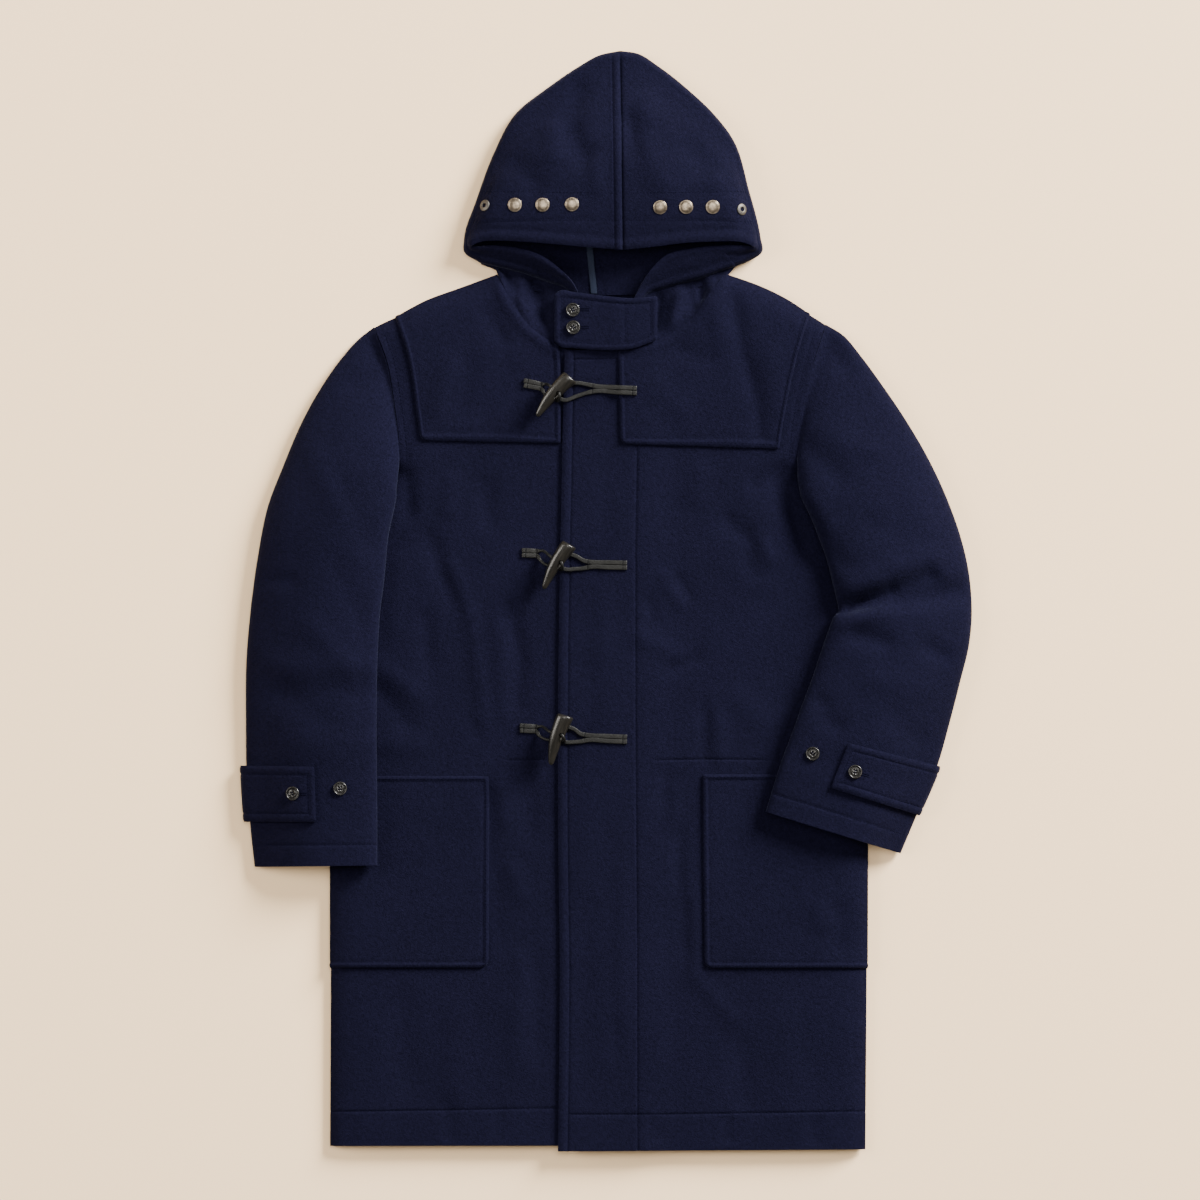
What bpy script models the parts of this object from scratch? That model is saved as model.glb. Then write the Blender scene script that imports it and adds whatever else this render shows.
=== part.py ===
# Duffle coat laid flat on its back: hood, sleeves, lapped fronts, patch pockets,
# horn toggles with leather loops, throat tab, cuff straps, buttons and hood snaps.
# Lengths are millimetres until they meet Blender, which takes metres. +Z is up from
# the surface, +Y runs from hem to hood, +X is the wearer's left.
import math

import bmesh
import bpy
from mathutils import Matrix, Vector

MM = 0.001

# Cloth and seams
CLOTH = 3.0              # thickness of the melton cloth
SEAM = 0.35              # space between pieces at a seam or a lap
TRIM_SEAM = 0.6          # under the yokes and pockets, which follow the soft folds
ARMHOLE_SEAM = 1.2       # at the armholes, where both walls are curved
STRAP_CLOTH = 3.6        # cuff straps and throat tab, two thin layers

# Finishes: colour, roughness, metallic
FINISHES = {
    "melton": ((0.010, 0.012, 0.045), 0.95, 0.0),
    "tape": ((0.05, 0.09, 0.16), 0.7, 0.0),
    "horn": ((0.018, 0.015, 0.012), 0.35, 0.0),
    "silver": ((0.42, 0.37, 0.32), 0.35, 1.0),
    "leather": ((0.012, 0.012, 0.013), 0.45, 0.0),
}

# Heights of the middle of the cloth above the surface
BACK_Z = 1.5
EDGE_Z = 5.1             # fronts at the closed side and shoulder edges
FRONT_Z = 13.5           # fronts away from those edges
EDGE_EASE = 12.0         # how fast the fronts rise from the edges
LAP_EASE = 45.0          # width over which the upper front sinks beside the lap

# Sleeves
FOLD_Z = 6.8             # height of a sleeve's outer fold
FOLD_ROUND = 9.0         # width of its rounding
OVER = 4.8               # sleeve's lower layer above the front it lies on
CLIMB = 20.0             # how far from the body's edge that layer leaves the surface
EDGE_CLEAR = 9.0         # it has reached the edge's height this far outside it
CROWN_POWER = 2.6        # squareness of the upper layer's arch
SEAM_FOLD_Z = 3.4        # outer fold beside the shoulder
SEAM_TURN = 2.6          # height of the inner fold's turn at the armhole
FULL_TURN = 5.2          # and where the sleeve is full

# Buttons, snaps, toggles and leather
BUTTON_RADIUS = 8.0
BUTTON_HEIGHT = 3.4
SNAP_RADIUS = 8.3
SNAP_HEIGHT = 2.4
RING_SNAP_RADIUS = 6.8
RING_SNAP_HOLE = 2.3
ROUND_SIDES = 16
LEATHER = 2.2
STRAP_WIDTH = 11.0
CORD_RADIUS = 1.7

# Places shared by several pieces
HEM_Y = -627.0
UNDER_LAP_X = 33.0       # hidden edge of the lower front


# ---------------------------------------------------------------- general helpers

def clear_scene():
    for item in list(bpy.data.objects):
        bpy.data.objects.remove(item, do_unlink=True)


def new_collection(name):
    group = bpy.data.collections.new(name)
    bpy.context.scene.collection.children.link(group)
    return group


def make_material(name, finish):
    colour, roughness, metallic = FINISHES[finish]
    material = bpy.data.materials.new(name + "_" + finish)
    material.use_nodes = True
    shader = material.node_tree.nodes["Principled BSDF"]
    shader.inputs["Base Color"].default_value = (*colour, 1.0)
    shader.inputs["Roughness"].default_value = roughness
    shader.inputs["Metallic"].default_value = metallic
    return material


def mix(a, b, t):
    return a + (b - a) * t


def ease(t):
    t = min(1.0, max(0.0, t))
    return t * t * (3.0 - 2.0 * t)


def look_up(table, value):
    """Value at a place in a table of (place, value) pairs in rising order of place."""
    if value <= table[0][0]:
        return table[0][1]
    for (x0, y0), (x1, y1) in zip(table, table[1:]):
        if value <= x1:
            return mix(y0, y1, (value - x0) / (x1 - x0))
    return table[-1][1]


def at_fraction(points, t):
    """Point at a fraction of the way along a line of points, by its length."""
    lengths = [(b - a).length for a, b in zip(points, points[1:])]
    target = t * sum(lengths)
    for start, end, length in zip(points, points[1:], lengths):
        if target <= length or end is points[-1]:
            return start.lerp(end, min(1.0, target / length))
        target -= length
    return points[-1].copy()


def finish_object(obj, group, finish):
    """Links an object and gives it a material of its own."""
    group.objects.link(obj)
    obj.data.materials.clear()
    obj.data.materials.append(make_material(obj.name, finish))
    return obj


def grid_object(name, rows, group, thickness, finish="melton", closed=False):
    """A grid laid through rows of points, thickened about its middle."""
    columns = len(rows[0]) + (1 if closed else 0)
    mesh = bpy.data.meshes.new(name)
    work = bmesh.new()
    bmesh.ops.create_grid(work, x_segments=columns - 1, y_segments=len(rows) - 1, size=0.5)
    for vert in work.verts:
        column = round((vert.co.x + 0.5) * (columns - 1)) % len(rows[0])
        row = round((vert.co.y + 0.5) * (len(rows) - 1))
        vert.co = rows[row][column] * MM
    if closed:
        bmesh.ops.remove_doubles(work, verts=work.verts, dist=0.00001)
    bmesh.ops.recalc_face_normals(work, faces=work.faces)
    work.to_mesh(mesh)
    work.free()
    mesh.shade_smooth()
    obj = finish_object(bpy.data.objects.new(name, mesh), group, finish)
    shell = obj.modifiers.new("cloth", "SOLIDIFY")
    shell.thickness = thickness * MM
    shell.offset = 0.0
    shell.use_even_offset = False
    shell.use_rim = True
    return obj


def moved_out(rows, distance):
    """The same rows of points moved out along the surface's upward normals."""
    result = []
    last_row = len(rows) - 1
    last_column = len(rows[0]) - 1
    for j, row in enumerate(rows):
        line = []
        for i, point in enumerate(row):
            across = row[min(i + 1, last_column)] - row[max(i - 1, 0)]
            along = rows[min(j + 1, last_row)][i] - rows[max(j - 1, 0)][i]
            normal = across.cross(along).normalized()
            line.append(point + normal * distance)
        result.append(line)
    return result


# ---------------------------------------------------------------- body outline

# Side edge of the body: height up the coat, wearer's right edge, wearer's left edge.
# It narrows under the sleeves to the foot of the armhole.
SIDE_EDGE = (
    # y,      right,  left
    (-632.0, -316.5, 297.5),
    (-421.5, -315.5, 299.0),
    (-204.0, -314.5, 299.0),
    (-60.0, -311.0, 297.5),
    (0.0, -303.0, 288.5),
    (60.0, -285.0, 265.0),
    (110.0, -262.0, 241.0),
    (148.0, -240.0, 221.0),
)
UNDERARM_Y = SIDE_EDGE[-1][0]
PAST_UNDERARM = 1.5      # how much faster the fronts rise above the underarm
SHOULDER_PITCH = 0.9     # a shoulder slopes, so its distance is less than the drop in y
NECK_PITCH = 1.2         # and they rise at once from the corners of the neck

# Shoulder line from the armhole to the neck
SHOULDER = {
    "right": ((-266.0, 313.0), (-243.0, 324.5), (-207.0, 343.0), (-169.0, 357.0), (-125.0, 373.0)),
    "left": ((252.0, 316.0), (236.5, 326.0), (206.0, 345.5), (184.0, 357.0), (136.0, 374.2)),
}

# Armhole from the underarm up to the shoulder
ARMHOLE = {
    "right": ((-240.0, 148.0), (-237.5, 162.0), (-238.0, 181.0), (-243.0, 222.0),
              (-252.0, 275.0), (-266.0, 313.0)),
    "left": ((221.0, 148.0), (219.5, 162.0), (221.0, 181.0), (228.0, 230.0),
             (240.0, 281.0), (252.0, 316.0)),
}

BACK_NECK = ((-125.0, 373.0), (-80.0, 364.0), (-30.0, 359.5), (30.0, 359.5), (85.0, 365.0),
             (136.0, 374.2))


def side_x(y, side):
    column = 1 if side == "right" else 2
    return look_up([(row[0], row[column]) for row in SIDE_EDGE], y)


def closed_distance(x, y):
    """Distance from the nearest closed edge of the body, a side or a shoulder line."""
    past_underarm = max(0.0, y - UNDERARM_Y) * PAST_UNDERARM
    from_sides = min(x - side_x(y, "right"), side_x(y, "left") - x) + past_underarm
    shoulders = list(SHOULDER["right"]) + list(reversed(SHOULDER["left"]))
    from_shoulder = (look_up(shoulders, x) - y) * SHOULDER_PITCH
    if SHOULDER["right"][-1][0] < x < SHOULDER["left"][-1][0]:
        neck = min(x - SHOULDER["right"][-1][0], SHOULDER["left"][-1][0] - x)
        from_shoulder += neck * NECK_PITCH
    return max(0.0, min(from_sides, from_shoulder))


# Soft folds of the fronts: from, to, half width and height of each, a trough below zero
FRONT_FOLDS = (
    # x0,    y0,    x1,    y1,  width, height
    (160.0, 345.0, 186.0, 215.0, 22.0, 2.4),
    (110.0, 300.0, 140.0, 285.0, 20.0, -1.6),
    (-190.0, 300.0, -200.0, 215.0, 26.0, -1.6),
    (-180.0, 20.0, -168.0, -180.0, 18.0, 1.3),
    (-104.0, 40.0, -98.0, -170.0, 16.0, 1.2),
    (70.0, -190.0, 78.0, -400.0, 16.0, 1.4),
    (200.0, 110.0, 176.0, -40.0, 26.0, 2.2),
    (-150.0, -450.0, -166.0, -600.0, 24.0, 1.2),
    (200.0, -450.0, 214.0, -600.0, 30.0, 1.4),
)


def fold_height(x, y, folds):
    total = 0.0
    for x0, y0, x1, y1, width, height in folds:
        run = Vector((x1 - x0, y1 - y0))
        place = Vector((x - x0, y - y0))
        along = place.dot(run) / run.length_squared
        beside = abs(place.cross(run)) / run.length / width
        ends = ease(along * 3.0 + 0.5) * ease((1.0 - along) * 3.0 + 0.5)
        total += height * math.exp(-beside * beside) * ends
    return total


def front_z(x, y):
    """Middle of a single front layer above the surface."""
    rise = 1.0 - math.exp(-closed_distance(x, y) / EDGE_EASE)
    return mix(EDGE_Z, FRONT_Z, rise) + fold_height(x, y, FRONT_FOLDS) * rise


def upper_front_z(x, y):
    lap = 1.0 - ease((x - UNDER_LAP_X - 7.0) / LAP_EASE)
    return front_z(x, y) + (CLOTH + SEAM) * lap


# ---------------------------------------------------------------- front panels

# Rows of a front from the hem to the yoke's lower edge: side end and front edge end
FRONT_ROWS = {
    "right": (
        # side x,  side y,  edge x,  edge y
        (-316.5, -627.0, UNDER_LAP_X, -626.0),
        (-316.0, -583.0, UNDER_LAP_X, -583.0),
        (-315.8, -500.0, UNDER_LAP_X, -500.0),
        (-315.5, -421.5, UNDER_LAP_X, -421.5),
        (-315.0, -350.0, UNDER_LAP_X, -350.0),
        (-314.8, -277.0, UNDER_LAP_X, -277.0),
        (-314.5, -204.0, UNDER_LAP_X, -204.0),
        (-313.0, -132.0, UNDER_LAP_X, -132.0),
        (-311.0, -60.0, UNDER_LAP_X, -60.0),
        (-303.0, 0.0, UNDER_LAP_X, 0.0),
        (-285.0, 60.0, UNDER_LAP_X, 60.0),
        (-262.0, 110.0, UNDER_LAP_X, 110.0),
        (-240.0, 148.0, UNDER_LAP_X, 148.0),
        (-238.0, 185.0, UNDER_LAP_X, 179.5),
    ),
    "left": (
        (297.5, -630.8, -55.0, -633.0),
        (297.8, -583.0, -54.5, -583.0),
        (298.5, -500.0, -53.5, -500.0),
        (299.0, -421.5, -53.0, -421.5),
        (299.0, -350.0, -54.0, -350.0),
        (299.0, -277.0, -54.8, -277.0),
        (299.0, -204.0, -55.2, -204.0),
        (298.5, -132.0, -55.0, -132.0),
        (297.5, -60.0, -54.4, -60.0),
        (288.5, 0.0, -53.5, 0.0),
        (265.0, 60.0, -52.4, 60.0),
        (241.0, 110.0, -51.3, 110.0),
        (221.0, 148.0, -50.5, 148.0),
        (219.6, 174.0, -50.0, 182.5),
    ),
}

# Columns of a front: where each crosses the yoke's lower edge and meets the top edge
FRONT_COLUMNS = {
    "right": (
        # yoke x,   top x,  top y
        (-238.0, -266.0, 313.0),
        (-234.0, -262.0, 315.0),
        (-229.0, -256.5, 318.0),
        (-221.0, -249.0, 321.5),
        (-212.5, -241.0, 325.0),
        (-190.0, -207.0, 343.0),
        (-160.0, -169.0, 357.0),
        (-130.0, -125.0, 373.0),
        (-105.0, -108.0, 341.0),
        (-80.0, -88.0, 314.0),
        (-51.5, -52.0, 291.0),
        (-15.0, -15.0, 286.0),
        (UNDER_LAP_X, UNDER_LAP_X, 286.0),
    ),
    "left": (
        (221.0, 252.0, 316.0),
        (216.0, 246.5, 319.5),
        (210.0, 242.0, 322.5),
        (204.0, 237.5, 325.5),
        (198.0, 233.0, 328.0),
        (180.0, 206.0, 345.5),
        (160.0, 175.0, 360.5),
        (138.0, 136.0, 374.2),
        (115.0, 118.0, 349.0),
        (92.0, 98.0, 322.0),
        (66.0, 66.0, 300.5),
        (40.0, 39.0, 294.0),
        (17.0, 15.0, 289.0),
        (-18.0, -16.0, 287.5),
        (-50.0, -47.0, 288.0),
    ),
}

UPPER_STEPS = (0.25, 0.5, 0.72, 0.87, 0.95, 0.98, 1.0)


def front_columns(side):
    table = FRONT_COLUMNS[side]
    return [(row[0] - table[0][0]) / (table[-1][0] - table[0][0]) for row in table]


def front_point(side, u, v):
    """Middle of a front's cloth. u runs from side to front edge, v from hem to top,
    one step for each row of the lower part and the last one over the yoke."""
    rows = FRONT_ROWS[side]
    last = len(rows) - 1
    if v <= last:
        low = rows[min(int(v), last - 1)]
        high = rows[min(int(v), last - 1) + 1]
        t = v - min(int(v), last - 1)
        start = Vector((mix(low[0], high[0], t), mix(low[1], high[1], t)))
        end = Vector((mix(low[2], high[2], t), mix(low[3], high[3], t)))
        flat = start.lerp(end, u)
    else:
        t = v - last
        columns = front_columns(side)
        table = FRONT_COLUMNS[side]
        top = Vector((look_up(list(zip(columns, [row[1] for row in table])), u),
                      look_up(list(zip(columns, [row[2] for row in table])), u)))
        foot = Vector((mix(rows[last][0], rows[last][2], u), mix(rows[last][1], rows[last][3], u)))
        flat = foot.lerp(top, t)
        armhole = [Vector(p) for p in ARMHOLE[side][2:]]
        bend = at_fraction(armhole, t) - armhole[0].lerp(armhole[-1], t)
        flat += bend * (1.0 - u) ** 2
    height = front_z if side == "right" else upper_front_z
    return Vector((flat.x, flat.y, height(flat.x, flat.y)))


def front_grid(side, columns, rows):
    grid = [[front_point(side, u, v) for u in columns] for v in rows]
    if side == "left":
        grid = [list(reversed(row)) for row in grid]
    return grid


def make_fronts(group):
    for side in ("right", "left"):
        last = len(FRONT_ROWS[side]) - 1
        rows = list(range(last + 1)) + [last + step for step in UPPER_STEPS]
        grid = front_grid(side, front_columns(side), rows)
        grid_object("front_" + side, grid, group, CLOTH)


YOKE_COLUMNS = {"right": (4, 10), "left": (4, 12)}
YOKE_LAP_CLEAR = {"right": 0.006, "left": 0.0}     # share of a front left beside the lap


def make_yokes(group):
    lift = CLOTH + TRIM_SEAM
    last = len(FRONT_ROWS["right"]) - 1
    rows = [last] + [last + step for step in UPPER_STEPS[:-1]]
    for side, (first, end) in YOKE_COLUMNS.items():
        columns = front_columns(side)[first:end + 1]
        columns[-1] -= YOKE_LAP_CLEAR[side]
        grid = moved_out(front_grid(side, columns, rows), lift)
        grid_object("yoke_" + side, grid, group, CLOTH)


POCKET_EDGE_X = {"right": -135.7, "left": 112.5}
POCKET_ROWS = (3.0, 3.12, 3.5, 4.0, 4.5, 5.0, 5.5, 5.88, 6.0)
POCKET_EDGE_STEP = 0.02  # share of a front between a pocket's edge and its next column


def column_at(side, x, v):
    """Fraction across a front at which it passes a given x."""
    start = front_point(side, 0.0, v).x
    end = front_point(side, 1.0, v).x
    return (x - start) / (end - start)


def make_pockets(group):
    lift = CLOTH + TRIM_SEAM
    for side, x in POCKET_EDGE_X.items():
        inner = column_at(side, x, POCKET_ROWS[3])
        beside = inner - POCKET_EDGE_STEP
        columns = [u for u in front_columns(side) if u < beside] + [beside, inner]
        grid = moved_out(front_grid(side, columns, POCKET_ROWS), lift)
        grid_object("pocket_" + side, grid, group, CLOTH)


def make_back(group):
    outline = [(side_x(HEM_Y, "right"), HEM_Y)]
    outline += [(side_x(row[0], "right"), row[0]) for row in SIDE_EDGE[1:]]
    outline += list(ARMHOLE["right"])[1:]
    outline += list(SHOULDER["right"])[1:]
    outline += list(BACK_NECK)[1:]
    outline += list(reversed(SHOULDER["left"]))[1:]
    outline += list(reversed(ARMHOLE["left"]))[1:-1]
    outline += [(side_x(row[0], "left"), row[0]) for row in reversed(SIDE_EDGE[1:])]
    outline += [(side_x(HEM_Y, "left"), HEM_Y)]
    curve = bpy.data.curves.new("back", "CURVE")
    curve.dimensions = "2D"
    curve.fill_mode = "BOTH"
    curve.extrude = CLOTH / 2.0 * MM
    line = curve.splines.new("POLY")
    line.points.add(len(outline) - 1)
    for point, (x, y) in zip(line.points, outline):
        point.co = (x * MM, y * MM, 0.0, 1.0)
    line.use_cyclic_u = True
    obj = finish_object(bpy.data.objects.new("back", curve), group, "melton")
    obj.location.z = BACK_Z * MM


# ---------------------------------------------------------------- sleeves

# Sections of each sleeve from armhole to cuff: outer fold, inner fold, rise of the
# upper layer, extra height where the inner part lies on a pocket, and how far the
# section still follows the armhole.
SLEEVE_SECTIONS = {
    "right": (
        # outer x, outer y, inner x, inner y, crown, lift, follow
        (-266.0, 313.0, -240.0, 148.0, 0.0, 0.0, 1.0),
        (-283.0, 300.0, -241.0, 135.5, 5.0, 0.0, 0.8),
        (-303.0, 278.0, -242.0, 127.0, 9.0, 0.0, 0.6),
        (-327.0, 244.0, -242.0, 120.0, 12.0, 0.0, 0.5),
        (-349.0, 205.0, -243.5, 110.0, 14.0, 0.0, 0.3),
        (-371.0, 154.0, -247.0, 95.0, 16.0, 0.0, 0.1),
        (-389.0, 107.0, -252.0, 70.0, 16.5, 0.0, 0.0),
        (-399.5, 55.0, -255.5, 30.0, 16.0, 0.0, 0.0),
        (-409.0, -15.0, -261.5, -20.0, 15.0, 0.0, 0.0),
        (-413.5, -71.0, -264.0, -71.0, 14.0, 0.6, 0.0),
        (-414.0, -136.0, -265.0, -136.0, 12.5, 2.6, 0.0),
        (-413.5, -190.0, -264.5, -192.0, 11.0, 4.4, 0.0),
        (-409.5, -253.5, -264.0, -254.0, 10.0, 4.4, 0.0),
        (-404.0, -306.0, -264.0, -304.0, 9.0, 4.4, 0.0),
    ),
    "left": (
        (252.0, 316.0, 221.0, 148.0, 0.0, 0.0, 1.0),
        (272.0, 304.0, 222.0, 135.5, 5.0, 0.0, 0.8),
        (291.0, 282.0, 223.5, 127.0, 9.0, 0.0, 0.6),
        (317.0, 247.0, 225.0, 120.0, 12.0, 0.0, 0.5),
        (345.0, 206.0, 229.5, 110.0, 14.0, 0.0, 0.3),
        (373.0, 158.0, 237.0, 95.0, 16.0, 0.0, 0.1),
        (394.0, 112.0, 246.0, 72.0, 16.5, 0.0, 0.0),
        (410.0, 65.0, 257.0, 40.0, 16.0, 0.0, 0.0),
        (417.0, 33.0, 265.0, 6.0, 15.5, 0.0, 0.0),
        (419.5, 13.0, 268.6, -12.0, 9.5, 0.0, 0.0),
        (420.6, -9.0, 263.0, -19.0, 14.5, 0.0, 0.0),
        (418.0, -47.0, 250.0, -54.0, 15.0, 0.0, 0.0),
        (406.5, -96.0, 239.0, -87.0, 14.0, 0.6, 0.0),
        (395.0, -141.0, 227.0, -119.0, 13.0, 2.6, 0.0),
        (381.0, -190.0, 216.5, -148.0, 11.5, 4.4, 0.0),
        (357.7, -245.5, 199.0, -196.0, 10.0, 4.4, 0.0),
        (338.7, -290.6, 184.6, -243.0, 9.0, 4.4, 0.0),
    ),
}

TOP_STEPS = 9
FOLD_GROWTH = 14.0       # crown at which the inner fold is at its full height
MOST_FLOOR = 0.86        # at most this much of a section's lower layer is off the body
BEND_RADIUS = 2.0        # tightest bend of the cloth at a fold


def section(side, place):
    """Values of a sleeve's section table at a fractional row."""
    rows = SLEEVE_SECTIONS[side]
    low = min(int(place), len(rows) - 2)
    return [mix(a, b, place - low) for a, b in zip(rows[low], rows[low + 1])]


def bulge(curve, t):
    """How far a curve's point at a fraction lies off its chord."""
    return at_fraction(curve, t) - curve[0].lerp(curve[-1], t)


def inside_body(point, side):
    """Distance of a point inside the body's side edge, negative outside."""
    if point.y > UNDERARM_Y:
        return -(point - Vector(ARMHOLE[side][0])).length
    sign = 1.0 if side == "right" else -1.0
    return sign * (point.x - side_x(point.y, side))


def lower_layer_z(point, side, lift):
    inside = inside_body(point, side)
    if inside >= 0.0:
        return front_z(point.x, point.y) + OVER + lift
    return mix(BACK_Z, EDGE_Z + OVER + lift, ease(1.0 + (inside + EDGE_CLEAR) / CLIMB))


def sleeve_ring(side, place):
    """Middle of the sleeve's cloth round one section, from the outer fold along the
    surface, up over the body to the inner fold and back along the top."""
    outer_x, outer_y, inner_x, inner_y, crown, lift, follow = section(side, place)
    sign = -1.0 if side == "right" else 1.0
    outer = Vector((outer_x, outer_y))
    inner = Vector((inner_x, inner_y))
    outer += (inner - outer).normalized() * CLOTH / 2.0 * (1.0 - follow)
    width = (inner - outer).length
    down = [Vector(p) for p in reversed(ARMHOLE[side])]
    up = [Vector(p) for p in ARMHOLE[side]]
    seam = Vector((sign * ARMHOLE_SEAM, -0.3 * ARMHOLE_SEAM)) * follow

    steps = [i / 100.0 for i in range(100)]
    on_body = [t for t in steps if inside_body(outer.lerp(inner, t), side) > -EDGE_CLEAR]
    edge = min([MOST_FLOOR] + on_body)

    grown = min(1.0, crown / FOLD_GROWTH)
    outer_fold = mix(SEAM_FOLD_Z, FOLD_Z, grown)
    inner_layer = lower_layer_z(inner, side, lift)
    inner_fold = inner_layer + mix(SEAM_TURN, FULL_TURN, grown)
    outer_turn = min(FOLD_ROUND, (outer_fold - BACK_Z) ** 2 / BEND_RADIUS) / width
    inner_turn = min(FOLD_ROUND, (inner_fold - inner_layer) ** 2 / BEND_RADIUS) / width
    climb = CLIMB / width

    lower = [(outer_turn * (1.0 - math.cos(math.radians(a))), math.sin(math.radians(a)), 0.0)
             for a in (0.0, 35.0, 70.0)]
    start = max(edge - climb, 0.6 * edge)
    lower += [(t, 1.0, 0.0) for t in (0.55 * start, start, 0.5 * (start + edge), edge)]
    end = 1.0 - inner_turn
    lower += [(mix(edge, end, t), 1.0, 0.0) for t in (0.18, 0.42, 0.7, 1.0)]
    lower += [(1.0 - inner_turn * (1.0 - math.cos(math.radians(a))), 0.0,
               math.sin(math.radians(a))) for a in (55.0, 20.0)]

    ring = []
    for t, outer_down, inner_down in lower:
        flat = outer.lerp(inner, t) + bulge(down, t) * follow
        flat += seam * (1.0 + 1.5 * ease(t * 4.0 - 3.0))
        if inner_down > 0.0:
            z = mix(inner_fold, inner_layer, inner_down)
        elif outer_down < 1.0:
            z = mix(outer_fold, BACK_Z, outer_down)
        else:
            z = lower_layer_z(flat, side, lift)
        ring.append(Vector((flat.x, flat.y, z)))

    high = 0.6 * (1.0 - edge)
    for step in range(TOP_STEPS + 1):
        a = 0.5 - 0.5 * math.cos(math.pi * (step + 0.35) / (TOP_STEPS + 0.7))
        flat = inner.lerp(outer, a) + bulge(up, a) * follow
        flat += seam * (1.0 + 1.5 * (1.0 - ease(a / 0.25)))
        arch = (1.0 - abs(2.0 * a - 1.0) ** CROWN_POWER) ** (1.0 / CROWN_POWER)
        z = mix(inner_fold, outer_fold, ease((a - high) / (1.0 - high))) + crown * arch
        if follow == 1.0:
            on_front = max(front_z(flat.x, flat.y), 5.4)
            z = on_front + max(0.0, inner_fold + 2.4 - on_front) * (1.0 - ease(a / 0.14))
        ring.append(Vector((flat.x, flat.y, z)))
    return ring


def make_sleeves(group):
    for side in ("right", "left"):
        rings = [sleeve_ring(side, place) for place in range(len(SLEEVE_SECTIONS[side]))]
        grid_object("sleeve_" + side, rings, group, CLOTH, closed=True)


# ---------------------------------------------------------------- hood

# Rows of each half of the hood, from the centre seam round the mouth to its corner.
# Each runs from the mouth's edge over the upper layer to the outer fold, back under it
# by the tuck, and on to the back's neck seam along a line bowed to one side.
HOOD_ROWS = {
    "right": (
        # mouth x, y, z, fold x, y, top z, bulge, low z, tuck, bow, neck place
        (19.2, 403.0, 33.0, 15.0, 633.0, 9.5, 13.0, 1.5, 8.0, -23.0, 0.00),
        (-20.0, 406.0, 34.0, -30.0, 614.5, 11.5, 12.0, 1.5, 8.0, -15.0, 0.16),
        (-58.5, 409.5, 34.0, -66.5, 589.5, 13.5, 10.5, 1.5, 8.0, -6.0, 0.36),
        (-90.0, 412.0, 32.5, -103.5, 559.5, 15.0, 9.0, 1.5, 8.0, 0.0, 0.54),
        (-119.5, 413.5, 30.0, -127.7, 515.0, 16.0, 7.0, 1.5, 8.0, 2.0, 0.70),
        (-143.0, 412.5, 26.0, -148.4, 459.4, 16.5, 3.0, 1.5, 8.0, 5.0, 0.82),
        (-154.5, 406.5, 22.0, -164.5, 414.5, 16.0, 0.8, 1.5, 7.0, 10.0, 0.89),
        (-149.5, 400.5, 20.5, -162.0, 397.5, 15.0, 0.8, 1.5, 5.0, 9.0, 0.94),
        (-131.0, 400.5, 22.0, -145.5, 388.5, 15.0, 1.0, 1.5, 4.0, 2.0, 0.98),
    ),
    "left": (
        (19.8, 403.0, 33.0, 17.5, 633.0, 9.5, 13.0, 1.5, 8.0, -23.0, 0.00),
        (50.5, 406.0, 34.0, 57.5, 613.5, 11.5, 12.0, 1.5, 8.0, -15.0, 0.16),
        (91.0, 411.0, 34.0, 96.5, 585.0, 13.5, 10.5, 1.5, 8.0, -6.0, 0.36),
        (119.5, 412.5, 32.5, 123.0, 559.5, 15.0, 9.0, 1.5, 8.0, 0.0, 0.56),
        (141.0, 413.0, 30.0, 145.0, 530.5, 16.0, 7.0, 1.5, 8.0, -2.0, 0.71),
        (157.5, 411.5, 26.0, 163.3, 472.0, 16.5, 3.0, 1.5, 8.0, -5.0, 0.82),
        (169.0, 406.5, 22.0, 180.3, 414.5, 16.0, 0.8, 1.5, 7.0, -10.0, 0.88),
        (167.0, 400.5, 20.5, 179.5, 398.0, 15.0, 0.8, 1.5, 5.0, -10.0, 0.91),
        (149.0, 401.0, 22.0, 163.5, 389.7, 15.0, 1.0, 1.5, 4.5, -5.0, 0.95),
        (130.0, 402.0, 23.5, 150.0, 384.5, 15.8, 1.2, 1.5, 4.0, -1.0, 0.98),
    ),
}

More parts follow.
